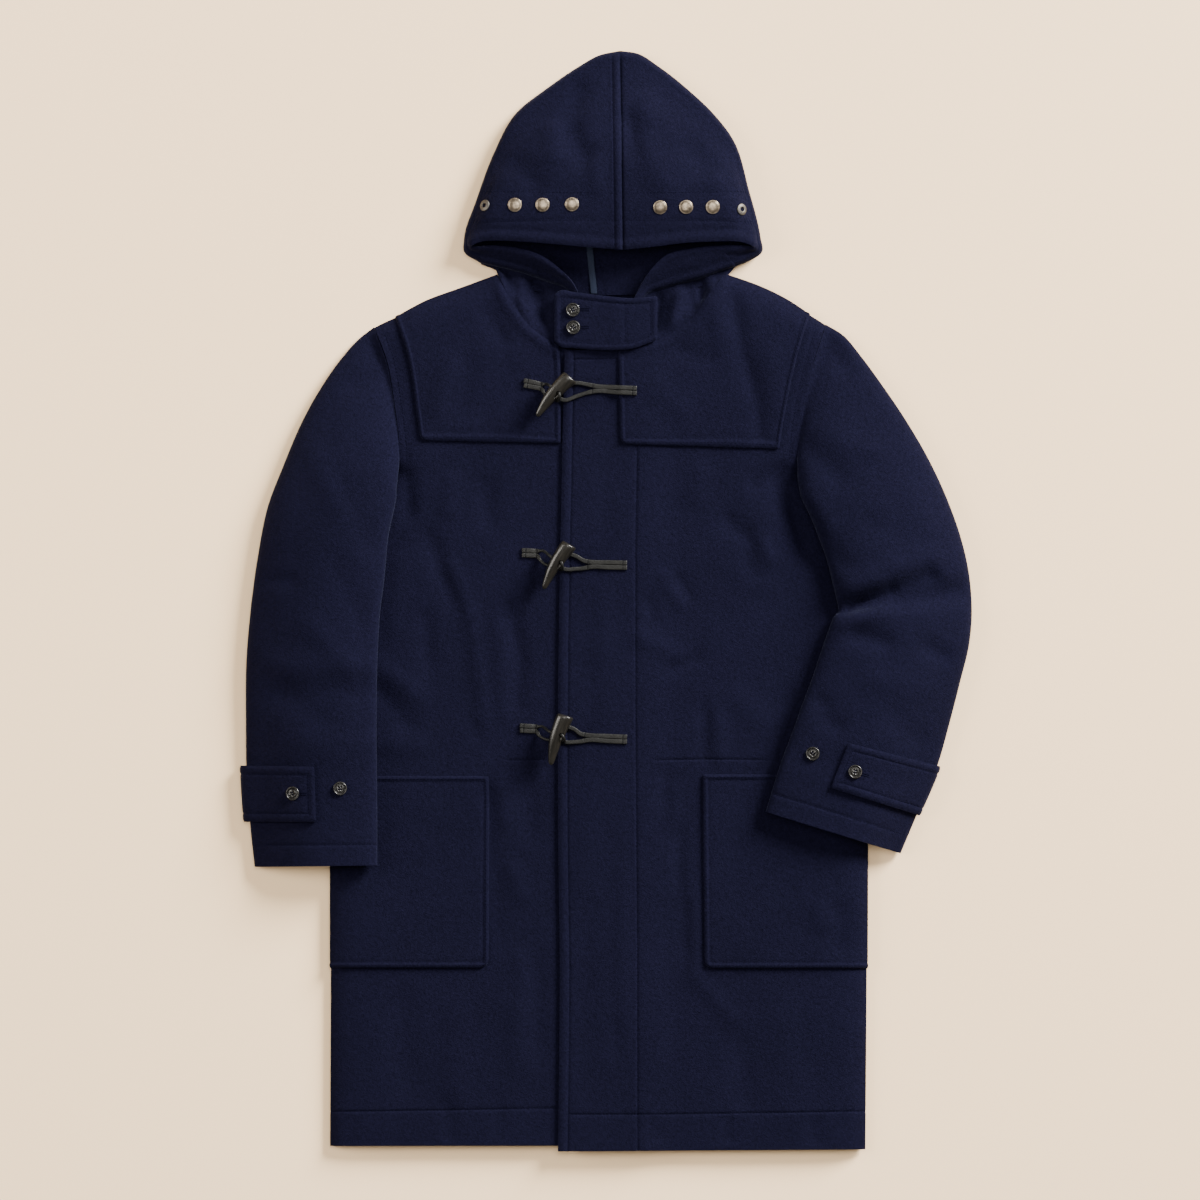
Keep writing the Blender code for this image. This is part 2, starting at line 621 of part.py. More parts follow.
# Rows of the hood's lower front edge, from the mouth's corner to the throat. A tuck
# below zero lets the cloth step down and outward from the fold to the neck seam.
CHIN_ROWS = {
    "right": (
        (-130.3, 400.5, 22.0, -144.6, 388.2, 15.5, 1.0, 7.6, -1.0, 0.0, 0.00),
        (-103.0, 400.5, 24.0, -117.5, 382.3, 16.5, 1.6, 7.8, -3.0, 0.0, 0.24),
        (-76.0, 395.5, 25.0, -91.0, 375.5, 17.0, 2.0, 8.0, -4.0, 0.0, 0.42),
        (-53.0, 381.0, 24.0, -64.5, 366.0, 17.0, 1.6, 8.4, -4.0, 0.0, 0.66),
        (-39.0, 366.5, 21.0, -47.0, 359.5, 16.5, 0.6, 9.6, -4.0, 0.0, 0.84),
        (-30.0, 350.0, 17.0, -37.0, 345.0, 15.6, 0.0, 11.0, -3.0, 0.0, 1.00),
    ),
    "left": (
        (129.3, 402.0, 23.5, 149.0, 384.2, 16.2, 1.2, 7.6, -1.0, 0.0, 0.00),
        (114.0, 402.0, 24.4, 131.0, 378.8, 16.6, 1.7, 7.8, -2.0, 0.0, 0.14),
        (96.5, 401.5, 25.0, 113.0, 372.0, 17.0, 2.0, 8.0, -4.0, 0.0, 0.34),
        (70.0, 396.0, 24.5, 88.0, 365.5, 17.0, 1.6, 8.4, -4.0, 0.0, 0.53),
        (51.5, 380.0, 22.0, 65.0, 359.0, 16.5, 0.6, 9.6, -4.0, 0.0, 0.70),
        (39.0, 360.5, 19.0, 47.5, 352.5, 16.0, 0.0, 11.0, -4.0, 0.0, 0.86),
        (30.0, 343.0, 17.0, 37.0, 338.0, 15.6, 0.0, 12.0, -3.0, 0.0, 0.98),
    ),
}

HOOD_TOP_STEPS = (0.0, 0.1, 0.28, 0.5, 0.72, 0.9)
HOOD_TURNS = (0.0, 45.0, 90.0, 135.0, 180.0)
HOOD_LOW_STEPS = (0.25, 0.5, 0.75, 1.0)
HOOD_NECK_SEAM = 1.0
HOOD_CORNER_SEAM = 3.6   # at the shoulders, where the yokes' edges round over
CHIN_LOWEST = 8.6        # chin pieces pass over the corners of the hood here
HOOD_CORNER_Z = 3.4      # back neck seam beside the shoulder
NECK_COLUMNS = {"right": (7, 10), "left": (7, 12)}
NECK_CENTRE = Vector((0.0, 400.0))


def front_neck(side, place):
    """A point of the neck seam on a front, from the shoulder to the throat tab."""
    first, last = NECK_COLUMNS[side]
    edge = [Vector((row[1], row[2])) for row in FRONT_COLUMNS[side][first:last + 1]]
    point = at_fraction(edge, place)
    seam = mix(HOOD_CORNER_SEAM, HOOD_NECK_SEAM, ease(place * 3.0))
    height = front_z if side == "right" else upper_front_z
    z = max(CHIN_LOWEST, height(point.x, point.y))
    point += (NECK_CENTRE - point).normalized() * seam
    return Vector((point.x, point.y, z))


def back_neck(side, place):
    """A point of the neck seam on the back, from the centre to the shoulder."""
    points = [Vector(p) for p in BACK_NECK]
    centre = points[2].lerp(points[3], 0.5)
    half = [centre] + (points[3:] if side == "left" else list(reversed(points[:3])))
    point = at_fraction(half, place)
    return Vector((point.x, point.y + HOOD_NECK_SEAM,
                   mix(BACK_Z, HOOD_CORNER_Z, ease(place * 5.0 - 4.0))))


def hood_path(row, neck):
    """Middle of the hood's cloth from the mouth's edge to a point of the neck seam."""
    mouth_x, mouth_y, mouth_z, fold_x, fold_y, top_z, rise, low_z, tuck, bow = row[:10]
    mouth = Vector((mouth_x, mouth_y))
    fold = Vector((fold_x, fold_y))
    outward = (fold - mouth).normalized()
    fold -= outward * CLOTH / 2.0
    round_top = min(8.0, 0.45 * (fold - mouth).length)
    shoulder = fold - outward * round_top
    path = []
    for t in HOOD_TOP_STEPS:
        flat = mouth.lerp(shoulder, t)
        z = mix(mouth_z, top_z, t) + rise * math.sin(math.pi * min(1.0, t * 1.05))
        path.append(Vector((flat.x, flat.y, z)))
    for angle in HOOD_TURNS:
        turn = math.radians(angle)
        flat = fold - outward * (round_top if angle <= 90.0 else tuck) * (1.0 - math.sin(turn))
        path.append(Vector((flat.x, flat.y, mix(low_z, top_z, 0.5 + 0.5 * math.cos(turn)))))
    start = path[-1]
    run = (neck.xy - start.xy).normalized()
    for t in HOOD_LOW_STEPS:
        flat = start.xy.lerp(neck.xy, t) + Vector((-run.y, run.x)) * bow * math.sin(math.pi * t)
        path.append(Vector((flat.x, flat.y, mix(low_z, neck.z, ease(t)))))
    return path


def make_hood(group):
    for side in ("right", "left"):
        rows = [hood_path(row, back_neck(side, row[10])) for row in HOOD_ROWS[side]]
        for point in rows[0]:
            point.x += -0.2 if side == "right" else 0.2
        grid_object("hood_" + side, rows, group, CLOTH)
        rows = [hood_path(row, front_neck(side, row[10])) for row in CHIN_ROWS[side]]
        grid_object("hood_chin_" + side, rows, group, CLOTH)


TAPE_WIDTH = 7.0
TAPE_THICKNESS = 1.0
TAPE_TOP = 560.0


def make_hood_tape(group):
    """Binding laid over the seam down the inside of the hood's back."""
    right, left = (hood_path(HOOD_ROWS[side][0], back_neck(side, 0.0))
                   for side in ("right", "left"))
    seam = [a.lerp(b, 0.5) for a, b in zip(right, left)][-len(HOOD_LOW_STEPS) - 1:]
    seam = [Vector((p.x, min(p.y, TAPE_TOP), 0.0)) for p in seam]
    seam[-1].y += 2.0
    z = BACK_Z + CLOTH / 2.0 + SEAM + TAPE_THICKNESS / 2.0
    rows = []
    for point in reversed(seam):
        rows.append([Vector((point.x + side * TAPE_WIDTH / 2.0, point.y, z)) for side in (-1, 1)])
    grid_object("hood_tape", rows, group, TAPE_THICKNESS, "tape")


# ---------------------------------------------------------------- throat tab

# Throat tab: x, upper edge y, lower edge y and height of its middle
THROAT_TAB = (
    # x,     top y,  low y,  z
    (-59.0, 351.0, 298.5, 20.9),
    (-53.0, 355.3, 292.7, 21.0),
    (-38.0, 354.0, 290.5, 21.3),
    (-10.0, 350.5, 288.2, 22.6),
    (12.0, 348.0, 288.0, 24.3),
    (30.0, 346.8, 289.6, 24.6),
    (44.0, 347.8, 294.0, 24.6),
    (58.5, 349.0, 300.0, 24.4),
)


def make_throat_tab(group):
    rows = []
    for step in (0.0, 0.3, 0.7, 1.0):
        rows.append([Vector((x, mix(low, top, step), z)) for x, top, low, z in THROAT_TAB])
    grid_object("throat_tab", rows, group, STRAP_CLOTH)


# ---------------------------------------------------------------- cuff straps

# Cuff straps: sections of the sleeve between which each lies, and how far it reaches
# across the upper layer from the outer fold
CUFF_STRAPS = {
    "right": (11.0, 12.0, 0.525),
    "left": (14.0, 15.0, 0.62),
}
STRAP_LIFT = 0.8


def make_cuff_straps(group):
    for side, (low, high, reach) in CUFF_STRAPS.items():
        rows = []
        for step in (0.0, 0.06, 0.5, 0.94, 1.0):
            ring = sleeve_ring(side, mix(low, high, step))
            top = ring[-(TOP_STEPS + 1):]
            floor = ring[:3]
            full = (top[-1].xy - top[0].xy).length
            ahead = [p for p in top if (top[-1].xy - p.xy).length < reach * full - 4.0]
            before = top[len(top) - len(ahead) - 1]
            there = (top[-1].xy - before.xy).length
            here = (top[-1].xy - ahead[0].xy).length
            end = ahead[0].lerp(before, (reach * full - here) / (there - here))
            rows.append([end] + ahead + floor[:2])
        if side == "left":
            rows = [list(reversed(row)) for row in rows]
        out = moved_out(rows, (CLOTH + STRAP_CLOTH) / 2.0 + STRAP_LIFT)
        for row in out:
            for point in row:
                point.z = max(point.z, STRAP_CLOTH / 2.0 + 0.2)
        grid_object("cuff_strap_" + side, out, group, STRAP_CLOTH)


# ---------------------------------------------------------------- round trims

def seat(panel, x, y, gap=SEAM):
    """Where a drop onto a panel from above lands, and the panel's tilt there."""
    graph = bpy.context.evaluated_depsgraph_get()
    found, place, normal, _ = panel.evaluated_get(graph).ray_cast(
        Vector((x * MM, y * MM, 1.0)), Vector((0.0, 0.0, -1.0)))
    if not found:
        raise ValueError("nothing under " + str((x, y)))
    if normal.z < 0.0:
        normal.negate()
    return place + normal * gap * MM, normal


def turned_object(name, profile, group, finish, closed_profile=False):
    """A profile of (radius, height) turned about Z."""
    mesh = bpy.data.meshes.new(name)
    work = bmesh.new()
    verts = [work.verts.new((r * MM, 0.0, z * MM)) for r, z in profile]
    for a, b in zip(verts, verts[1:]):
        work.edges.new((a, b))
    if closed_profile:
        work.edges.new((verts[-1], verts[0]))
    work.to_mesh(mesh)
    work.free()
    mesh.shade_smooth()
    obj = finish_object(bpy.data.objects.new(name, mesh), group, finish)
    turn = obj.modifiers.new("turn", "SCREW")
    turn.steps = ROUND_SIDES
    turn.render_steps = ROUND_SIDES
    turn.use_merge_vertices = True
    turn.merge_threshold = 0.00001
    return obj


BUTTON_PROFILE = ((0.0, 2.2), (4.6, 2.2), (5.6, BUTTON_HEIGHT), (7.3, BUTTON_HEIGHT - 0.3),
                  (BUTTON_RADIUS, 1.8), (6.6, 0.0), (0.0, 0.0))
SNAP_PROFILE = ((0.0, SNAP_HEIGHT), (4.6, SNAP_HEIGHT - 0.4), (7.2, SNAP_HEIGHT - 1.2),
                (SNAP_RADIUS, 0.5), (SNAP_RADIUS - 0.4, 0.0), (0.0, 0.0))
RING_PROFILE = ((RING_SNAP_HOLE, 1.0), (3.6, 1.8), (5.4, 1.6), (RING_SNAP_RADIUS, 0.5),
                (RING_SNAP_RADIUS - 0.4, 0.0), (RING_SNAP_HOLE, 0.0))

BUTTONS = (
    # name,                panel,             x,       y
    ("tab_button_1", "throat_tab", -38.0, 334.0),
    ("tab_button_2", "throat_tab", -37.5, 313.8),
    ("cuff_button_right_1", "cuff_strap_right", -359.2, -221.4),
    ("cuff_button_right_2", "sleeve_right", -305.2, -215.6),
    ("cuff_button_left_1", "cuff_strap_left", 285.9, -196.4),
    ("cuff_button_left_2", "sleeve_left", 237.5, -175.7),
)
SNAPS = (
    ("hood_snap_1", "hood_right", -104.7, 454.3),
    ("hood_snap_2", "hood_right", -72.9, 454.3),
    ("hood_snap_3", "hood_right", -39.1, 454.8),
    ("hood_snap_4", "hood_left", 62.1, 451.4),
    ("hood_snap_5", "hood_left", 92.0, 451.8),
    ("hood_snap_6", "hood_left", 122.5, 451.8),
)
RING_SNAPS = (
    ("hood_ring_snap_1", "hood_right", -139.3, 453.7),
    ("hood_ring_snap_2", "hood_left", 156.0, 449.1),
)


def make_round_trims(group):
    kinds = ((BUTTONS, BUTTON_PROFILE, "horn", False), (SNAPS, SNAP_PROFILE, "silver", False),
             (RING_SNAPS, RING_PROFILE, "silver", True))
    for table, profile, finish, closed_profile in kinds:
        for name, panel, x, y in table:
            place, normal = seat(bpy.data.objects[panel], x, y, 0.6)
            obj = turned_object(name, profile, group, finish, closed_profile)
            obj.rotation_mode = "QUATERNION"
            obj.rotation_quaternion = normal.to_track_quat("Z", "Y")
            obj.location = place


# ---------------------------------------------------------------- toggles

# Toggles: centre of the thick end, heading of the tip, the strap on the wearer's right,
# the looped strap on the left and where that one splits, and the height of what is under
TOGGLES = (
    # end x, end y, heading, strap from x, y, to x, y, loop from x, y, split x, y, raised
    (-41.0, 256.5, 229.4, -94.3, 250.0, -71.0, 245.5, 35.5, 241.0, -15.0, 243.5, 3.8),
    (-42.0, 64.5, 239.8, -96.6, 55.0, -76.0, 54.0, 24.2, 40.5, -20.7, 41.5, 0.0),
    (-46.5, -132.0, 253.2, -98.9, -146.5, -77.0, -147.8, 24.2, -159.5, -24.2, -157.5, 0.7),
)
TUSK = (
    # place along the toggle, radius
    (0.0, 9.2), (1.5, 10.2), (12.0, 9.7), (24.0, 8.9), (36.0, 7.6), (47.0, 5.8), (55.0, 4.2),
    (58.5, 2.6),
)
TUSK_FLAT = 0.66         # height of the toggle's section against its width
TUSK_HOLE_AT = 23.0
TUSK_HOLE_RADIUS = 2.6
TUSK_FLANK = 11.8        # middle of the cord where it rounds the toggle's side
STRAP_LAYER = 16.5       # middles of the leather and the cord above the surface
LOOP_LAYER = 19.9
CORD_LAYER = 23.3        # cord where it passes under the toggle
TOGGLE_LAYER = 31.8
LOOP_LEG = 4.6           # width of a split end


def tube_mesh(name, points, radii, cyclic, sides):
    """A tube through points, as a closed mesh."""
    curve = bpy.data.curves.new(name, "CURVE")
    curve.dimensions = "3D"
    curve.bevel_depth = MM
    curve.bevel_resolution = sides
    curve.use_fill_caps = not cyclic
    line = curve.splines.new("POLY")
    line.points.add(len(points) - 1)
    for item, point, radius in zip(line.points, points, radii):
        item.co = (*(point * MM), 1.0)
        item.radius = radius
    line.use_cyclic_u = cyclic
    guide = bpy.data.objects.new(name + "_guide", curve)
    bpy.context.scene.collection.objects.link(guide)
    graph = bpy.context.evaluated_depsgraph_get()
    mesh = bpy.data.meshes.new_from_object(guide.evaluated_get(graph))
    bpy.data.objects.remove(guide, do_unlink=True)
    work = bmesh.new()
    work.from_mesh(mesh)
    bmesh.ops.remove_doubles(work, verts=work.verts, dist=0.00001)
    bmesh.ops.recalc_face_normals(work, faces=work.faces)
    work.to_mesh(mesh)
    work.free()
    mesh.shade_smooth()
    return mesh


def smooth_loop(points, steps):
    """Points on a closed smooth curve through the given ones."""
    count = len(points)
    result = []
    for i in range(count):
        p0, p1, p2, p3 = (points[(i + k - 1) % count] for k in range(4))
        for step in range(steps):
            t = step / steps
            result.append(0.5 * (2.0 * p1 + (p2 - p0) * t
                                 + (2.0 * p0 - 5.0 * p1 + 4.0 * p2 - p3) * t * t
                                 + (3.0 * p1 - p0 - 3.0 * p2 + p3) * t ** 3))
    return result


def boolean(target, cutter, operation):
    step = target.modifiers.new(operation.lower(), "BOOLEAN")
    step.operation = operation
    step.object = cutter
    cutter.hide_render = True
    cutter.display_type = "WIRE"


def waist_of(toggle):
    """Where the cord crosses a toggle, and its directions along and across it."""
    heading = math.radians(toggle[2])
    along = Vector((math.cos(heading), math.sin(heading), 0.0))
    across = Vector((along.y, -along.x, 0.0))
    return Vector((toggle[0], toggle[1], 0.0)) + along * TUSK_HOLE_AT, along, across


def make_toggle(number, toggle, group, cutters):
    waist, along, across = waist_of(toggle)
    end = waist - along * TUSK_HOLE_AT
    name = "toggle_%d" % number
    mesh = tube_mesh(name, [end + along * s for s, _ in TUSK], [r for _, r in TUSK], False, 4)
    mesh.transform(Matrix.Diagonal((1.0, 1.0, TUSK_FLAT, 1.0)))
    reach = across * 2.0 * TUSK[1][1]
    hole = tube_mesh(name + "_hole", [waist - reach, waist + reach], [TUSK_HOLE_RADIUS] * 2,
                     False, 2)
    tusk = finish_object(bpy.data.objects.new(name, mesh), group, "horn")
    cutter = finish_object(bpy.data.objects.new(name + "_hole", hole), cutters, "horn")
    for obj in (tusk, cutter):
        obj.location.z = (TOGGLE_LAYER + toggle[11]) * MM
    boolean(tusk, cutter, "DIFFERENCE")


def make_toggle_strap(number, toggle, group, cutters):
    """Leather strap whose end runs on as a cord, through the toggle and back under it."""
    x0, y0, x1, y1 = toggle[3:7]
    raised = Vector((0.0, 0.0, toggle[11]))
    waist, along, across = waist_of(toggle)
    near = Vector((x1, y1, STRAP_LAYER + 0.3))
    level = Vector((0.0, 0.0, TOGGLE_LAYER))
    under = Vector((0.0, 0.0, CORD_LAYER))
    entry = waist + across * (TUSK_FLANK - 0.4) + level
    route = [
        near,
        near + Vector((4.2, 6.2, 2.6)),
        near.lerp(entry, 0.62) + Vector((0.0, 2.5, 1.5)),
        entry,
        waist + across * 8.0 + level,
        waist - across * 8.0 + level,
        waist - across * TUSK_FLANK + level,
        waist - across * 14.5 + along * 3.2 + (level + under) * 0.5,
        waist - across * 9.5 + along * 6.4 + under,
        waist + across * 3.0 + along * 6.8 + under,
        near + Vector((4.4, -6.4, 3.4)),
    ]
    points = [point + raised for point in smooth_loop(route, 2)]
    name = "toggle_strap_%d" % number
    cord = tube_mesh(name + "_cord", points, [CORD_RADIUS] * len(points), True, 2)
    loop = finish_object(bpy.data.objects.new(name + "_cord", cord), cutters, "leather")
    mesh = bpy.data.meshes.new(name)
    work = bmesh.new()
    bmesh.ops.create_cube(work, size=MM)
    length = math.hypot(x1 - x0, y1 - y0)
    bmesh.ops.scale(work, vec=(length, STRAP_WIDTH, LEATHER), verts=work.verts)
    work.to_mesh(mesh)
    work.free()
    strap = finish_object(bpy.data.objects.new(name, mesh), group, "leather")
    strap.location = (Vector(((x0 + x1) / 2.0, (y0 + y1) / 2.0, STRAP_LAYER)) + raised) * MM
    strap.rotation_euler.z = math.atan2(y1 - y0, x1 - x0)
    boolean(strap, loop, "UNION")


def make_loop_strap(number, toggle, group):
    """Leather strap whose split end loops round under the toggle."""
    x0, y0, x1, y1 = toggle[7:11]
    waist = waist_of(toggle)[0]
    half = STRAP_WIDTH / 2.0
    bow = Vector((mix(x1, waist.x, 0.45), mix(y1, waist.y, 0.45)))
    end_x = waist.x - 3.0
    outline = [(x0, y0 - half), (x0, y0 + half), (x1, y1 + half), (bow.x, bow.y + 8.5),
               (waist.x + 6.0, waist.y + 9.8), (end_x + 1.0, waist.y + 6.5),
               (end_x - 1.0, waist.y), (end_x + 1.0, waist.y - 6.5),
               (waist.x + 6.0, waist.y - 9.8), (bow.x, bow.y - 8.5), (x1, y1 - half)]
    slot = [(x1 - 4.0, y1), (bow.x, bow.y + 8.5 - LOOP_LEG),
            (waist.x + 6.0, waist.y + 9.8 - LOOP_LEG), (end_x + LOOP_LEG, waist.y + 2.6),
            (end_x + LOOP_LEG, waist.y - 2.6), (waist.x + 6.0, waist.y - 9.8 + LOOP_LEG),
            (bow.x, bow.y - 8.5 + LOOP_LEG)]
    curve = bpy.data.curves.new("loop_strap_%d" % number, "CURVE")
    curve.dimensions = "2D"
    curve.fill_mode = "BOTH"
    curve.extrude = LEATHER / 2.0 * MM
    for points in (outline, slot):
        line = curve.splines.new("POLY")
        line.points.add(len(points) - 1)
        for item, (x, y) in zip(line.points, points):
            item.co = (x * MM, y * MM, 0.0, 1.0)
        line.use_cyclic_u = True
    obj = finish_object(bpy.data.objects.new(curve.name, curve), group, "leather")
    obj.location.z = (LOOP_LAYER + toggle[11]) * MM


def make_fastenings(group, cutters):
    for number, toggle in enumerate(TOGGLES, start=1):
        make_toggle(number, toggle, group, cutters)
        make_toggle_strap(number, toggle, group, cutters)
        make_loop_strap(number, toggle, group)


def main():
    clear_scene()
    group = new_collection("duffle_coat")
    cutters = new_collection("cutters")
    make_back(group)
    make_fronts(group)
    make_yokes(group)
    make_pockets(group)
    make_sleeves(group)
    make_hood(group)
    make_hood_tape(group)
    make_throat_tab(group)
    make_cuff_straps(group)
    bpy.context.view_layer.update()
    make_round_trims(group)
    make_fastenings(group, cutters)


main()
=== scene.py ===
import math
from bisect import bisect_right

import bmesh
import bpy
import numpy as np
from mathutils import Matrix, Vector, noise
from mathutils.bvhtree import BVHTree


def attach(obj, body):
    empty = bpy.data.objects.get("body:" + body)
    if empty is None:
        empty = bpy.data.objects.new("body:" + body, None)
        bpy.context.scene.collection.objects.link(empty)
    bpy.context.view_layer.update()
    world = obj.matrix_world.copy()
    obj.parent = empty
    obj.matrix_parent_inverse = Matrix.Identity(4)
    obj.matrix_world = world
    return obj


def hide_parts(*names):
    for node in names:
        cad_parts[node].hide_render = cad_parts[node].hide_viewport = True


# Duffle coat laid flat on its back, in millimetres until it meets Blender. +Y runs from
# hem to hood, and right and left are the wearer's own.
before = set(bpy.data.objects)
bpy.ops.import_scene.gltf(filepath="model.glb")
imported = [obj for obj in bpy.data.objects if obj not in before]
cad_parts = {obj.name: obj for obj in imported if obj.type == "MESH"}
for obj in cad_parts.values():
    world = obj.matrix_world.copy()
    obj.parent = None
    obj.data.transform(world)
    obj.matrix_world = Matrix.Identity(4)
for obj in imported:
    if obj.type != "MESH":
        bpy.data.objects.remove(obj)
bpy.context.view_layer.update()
mm = 0.001
bothSides = ("right", "left")
made = {}                # finished pieces by name
print("frame loaded with", len(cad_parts), "nodes")


def newObject(name, data):
    item = bpy.data.objects.new(name, data)
    bpy.context.scene.collection.objects.link(item)
    return item


def toMesh(name, work):
    mesh = bpy.data.meshes.new(name)
    work.to_mesh(mesh)
    work.free()
    return mesh


def facingOut(work):
    bmesh.ops.recalc_face_normals(work, faces=work.faces)


def closeEnds(work):
    bmesh.ops.holes_fill(work, edges=[edge for edge in work.edges if edge.is_boundary])
    facingOut(work)


def changeMesh(mesh, change):
    work = bmesh.new()
    work.from_mesh(mesh)
    change(work)
    work.to_mesh(mesh)
    work.free()
    return mesh


# Camera and room

room = {
    "centreX": -6.9, "centreY": 0.6, "across": 1380,      # middle and width of the view, millimetres
    "lens": 500, "sensor": 36, "clipEnd": 50,
    "floorSize": 12, "floorZ": -0.0002,                   # metres from here on
    "air": (1, 0.92, 0.80), "airLight": 0.34,
    "lights": {             # place, size, power, colour
        "keyLight": ((6, 5.3, 3.4), 3.8, 3800, (1, 0.99, 0.97)),
        "fillLight": ((-6.4, 1.2, 3.4), 4, 520, (1, 0.95, 0.88)),
        "topLight": ((0.2, 1.2, 6.8), 4, 280, (1, 0.97, 0.92)),
    },
}

camera = newObject("camera", bpy.data.cameras.new("camera"))
camera.data.lens = room["lens"]
camera.data.sensor_width = room["sensor"]
camera.data.clip_end = room["clipEnd"]
camera.location = (room["centreX"] * mm, room["centreY"] * mm,
                   room["across"] * mm * room["lens"] / room["sensor"])
bpy.context.scene.camera = camera

for name, (spot, size, power, colour) in room["lights"].items():
    light = bpy.data.lights.new(name, "AREA")
    light.shape = "DISK"
    light.size = size
    light.energy = power
    light.color = colour
    lamp = newObject(name, light)
    lamp.location = spot
    lamp.rotation_euler = (-Vector(spot)).to_track_quat("-Z", "Y").to_euler()

world = bpy.data.worlds.new("paleRoom")
bpy.context.scene.world = world
world.use_nodes = True
air = world.node_tree.nodes["Background"]
air.inputs["Color"].default_value = (*room["air"], 1)
air.inputs["Strength"].default_value = room["airLight"]


# Node groups that several finishes use

def newGroup(name, inputs, outputs):
    group = bpy.data.node_groups.new(name, "ShaderNodeTree")
    for label, kind, value in inputs:
        socket = group.interface.new_socket(label, in_out="INPUT", socket_type="NodeSocket" + kind)
        if value is not None:
            socket.default_value = value
    for label, kind in outputs:
        group.interface.new_socket(label, in_out="OUTPUT", socket_type="NodeSocket" + kind)
    return group, group.nodes.new("NodeGroupInput"), group.nodes.new("NodeGroupOutput")


# A node with its settings and values, fed by the linked sockets
def addNode(tree, kind, links=(), **values):
    node = tree.nodes.new(kind)
    for name, value in values.items():
        if name in ("operation", "data_type", "attribute_name", "node_tree"):
            setattr(node, name, value)
        else:
            node.inputs[name.replace("_", " ")].default_value = value
    for name, socket in links:
        tree.links.new(socket, node.inputs[name])
    return node


def addShare(tree, value, share, rest=None):
    node = addNode(tree, "ShaderNodeMath", [(0, value)], operation="MULTIPLY_ADD")
    node.inputs[1].default_value = share
    node.inputs[2].default_value = 0
    if rest is not None:
        tree.links.new(rest, node.inputs[2])
    return node.outputs[0]


napScales = {"Fibre Scale": 520, "Clump Scale": 260, "Cloud Scale": 9}     # repeats a metre


# Bent fibres over small clumps, with slow clouds in the tone alone
def napGroup():
    group, inside, outside = newGroup(
        "feltedNap", [(label, "Float", scale) for label, scale in napScales.items()],
        [("Tone", "Float"), ("Height", "Float")])
    place = addNode(group, "ShaderNodeTexCoord").outputs["Object"]
    bent = addNode(group, "ShaderNodeTexNoise", [("Vector", place)], Scale=260, Detail=2)
    shift = addNode(group, "ShaderNodeVectorMath", [(0, bent.outputs["Color"])], operation="SCALE",
                    Scale=0.006)
    moved = addNode(group, "ShaderNodeVectorMath", [(0, place), (1, shift.outputs[0])], operation="ADD")
    fibre, clump, cloud = (
        addNode(group, "ShaderNodeTexNoise", [("Vector", at), ("Scale", inside.outputs[label])],
                Detail=detail, Roughness=roughness).outputs[0]
        for label, at, detail, roughness in (("Fibre Scale", moved.outputs[0], 5, 0.62),
                                             ("Clump Scale", place, 4, 0.6),
                                             ("Cloud Scale", place, 3, 0.55)))
    height = addShare(group, clump, 0.35, addShare(group, fibre, 0.65))
    tone = addNode(group, "ShaderNodeMapRange", [("Value", addShare(group, cloud, 0.12, height))],
                   From_Min=0.38, From_Max=0.74)
    group.links.new(height, outside.inputs["Height"])
    group.links.new(tone.outputs[0], outside.inputs["Tone"])
    return group


def streakGroup():
    group, inside, outside = newGroup(
        "streaks", [("Vector", "Vector", None), ("Scale", "Float", 90), ("Detail", "Float", 4)],
        [("Tone", "Float")])
    streak = addNode(group, "ShaderNodeTexNoise",
                     [(label, inside.outputs[label]) for label in ("Vector", "Scale", "Detail")],
                     Roughness=0.6)
    tone = addNode(group, "ShaderNodeMapRange", [("Value", streak.outputs[0])], From_Min=0.32, From_Max=0.68)
    group.links.new(tone.outputs[0], outside.inputs["Tone"])
    return group


feltedNap = napGroup()
streaks = streakGroup()


# Patterns of the finishes: each gives the sockets of a tone and a height

def objectPlace(tree):
    return addNode(tree, "ShaderNodeTexCoord").outputs["Object"]


def napPattern(tree, values):
    nap = addNode(tree, "ShaderNodeGroup", node_tree=feltedNap)
    for label, scale in napScales.items():
        nap.inputs[label].default_value = scale
    return nap.outputs["Tone"], nap.outputs["Height"]


def streakPattern(tree, values, place=None):
    streak = addNode(tree, "ShaderNodeGroup", node_tree=streaks)
    streak.inputs["Scale"].default_value = values["scale"]
    streak.inputs["Detail"].default_value = values.get("detail", 4)
    tree.links.new(objectPlace(tree) if place is None else place, streak.inputs["Vector"])
    return streak.outputs[0], streak.outputs[0]


def tuskPattern(tree, values):               # streaks drawn out along the tusk
    grain = addNode(tree, "ShaderNodeAttribute", attribute_name="grain")
    drawn = addNode(tree, "ShaderNodeMapping", [("Vector", grain.outputs["Vector"])], Scale=(1, 0.10, 1))
    return streakPattern(tree, values, drawn.outputs[0])


def leatherPattern(tree, values):            # worn streaks over fine pores
    place = objectPlace(tree)
    pores = addNode(tree, "ShaderNodeTexVoronoi", [("Vector", place)], Scale=values["pores"])
    return streakPattern(tree, values, place)[0], pores.outputs["Distance"]


def softPattern(tree, values):
    soft = addNode(tree, "ShaderNodeTexNoise", [("Vector", objectPlace(tree))],
                   Scale=values["scale"], Detail=2)
    return soft.outputs[0], soft.outputs[0]


def weavePattern(tree, values):
    across = addNode(tree, "ShaderNodeMapping", [("Vector", objectPlace(tree))],
                     Rotation=(0, 0, values["turn"]))
    weave = addNode(tree, "ShaderNodeTexWave", [("Vector", across.outputs[0])], Scale=values["scale"],
                    Distortion=0.6)
    return weave.outputs[1], weave.outputs[1]


# Finishes: darkest and lightest colour, repeats a metre, depth of the relief in metres

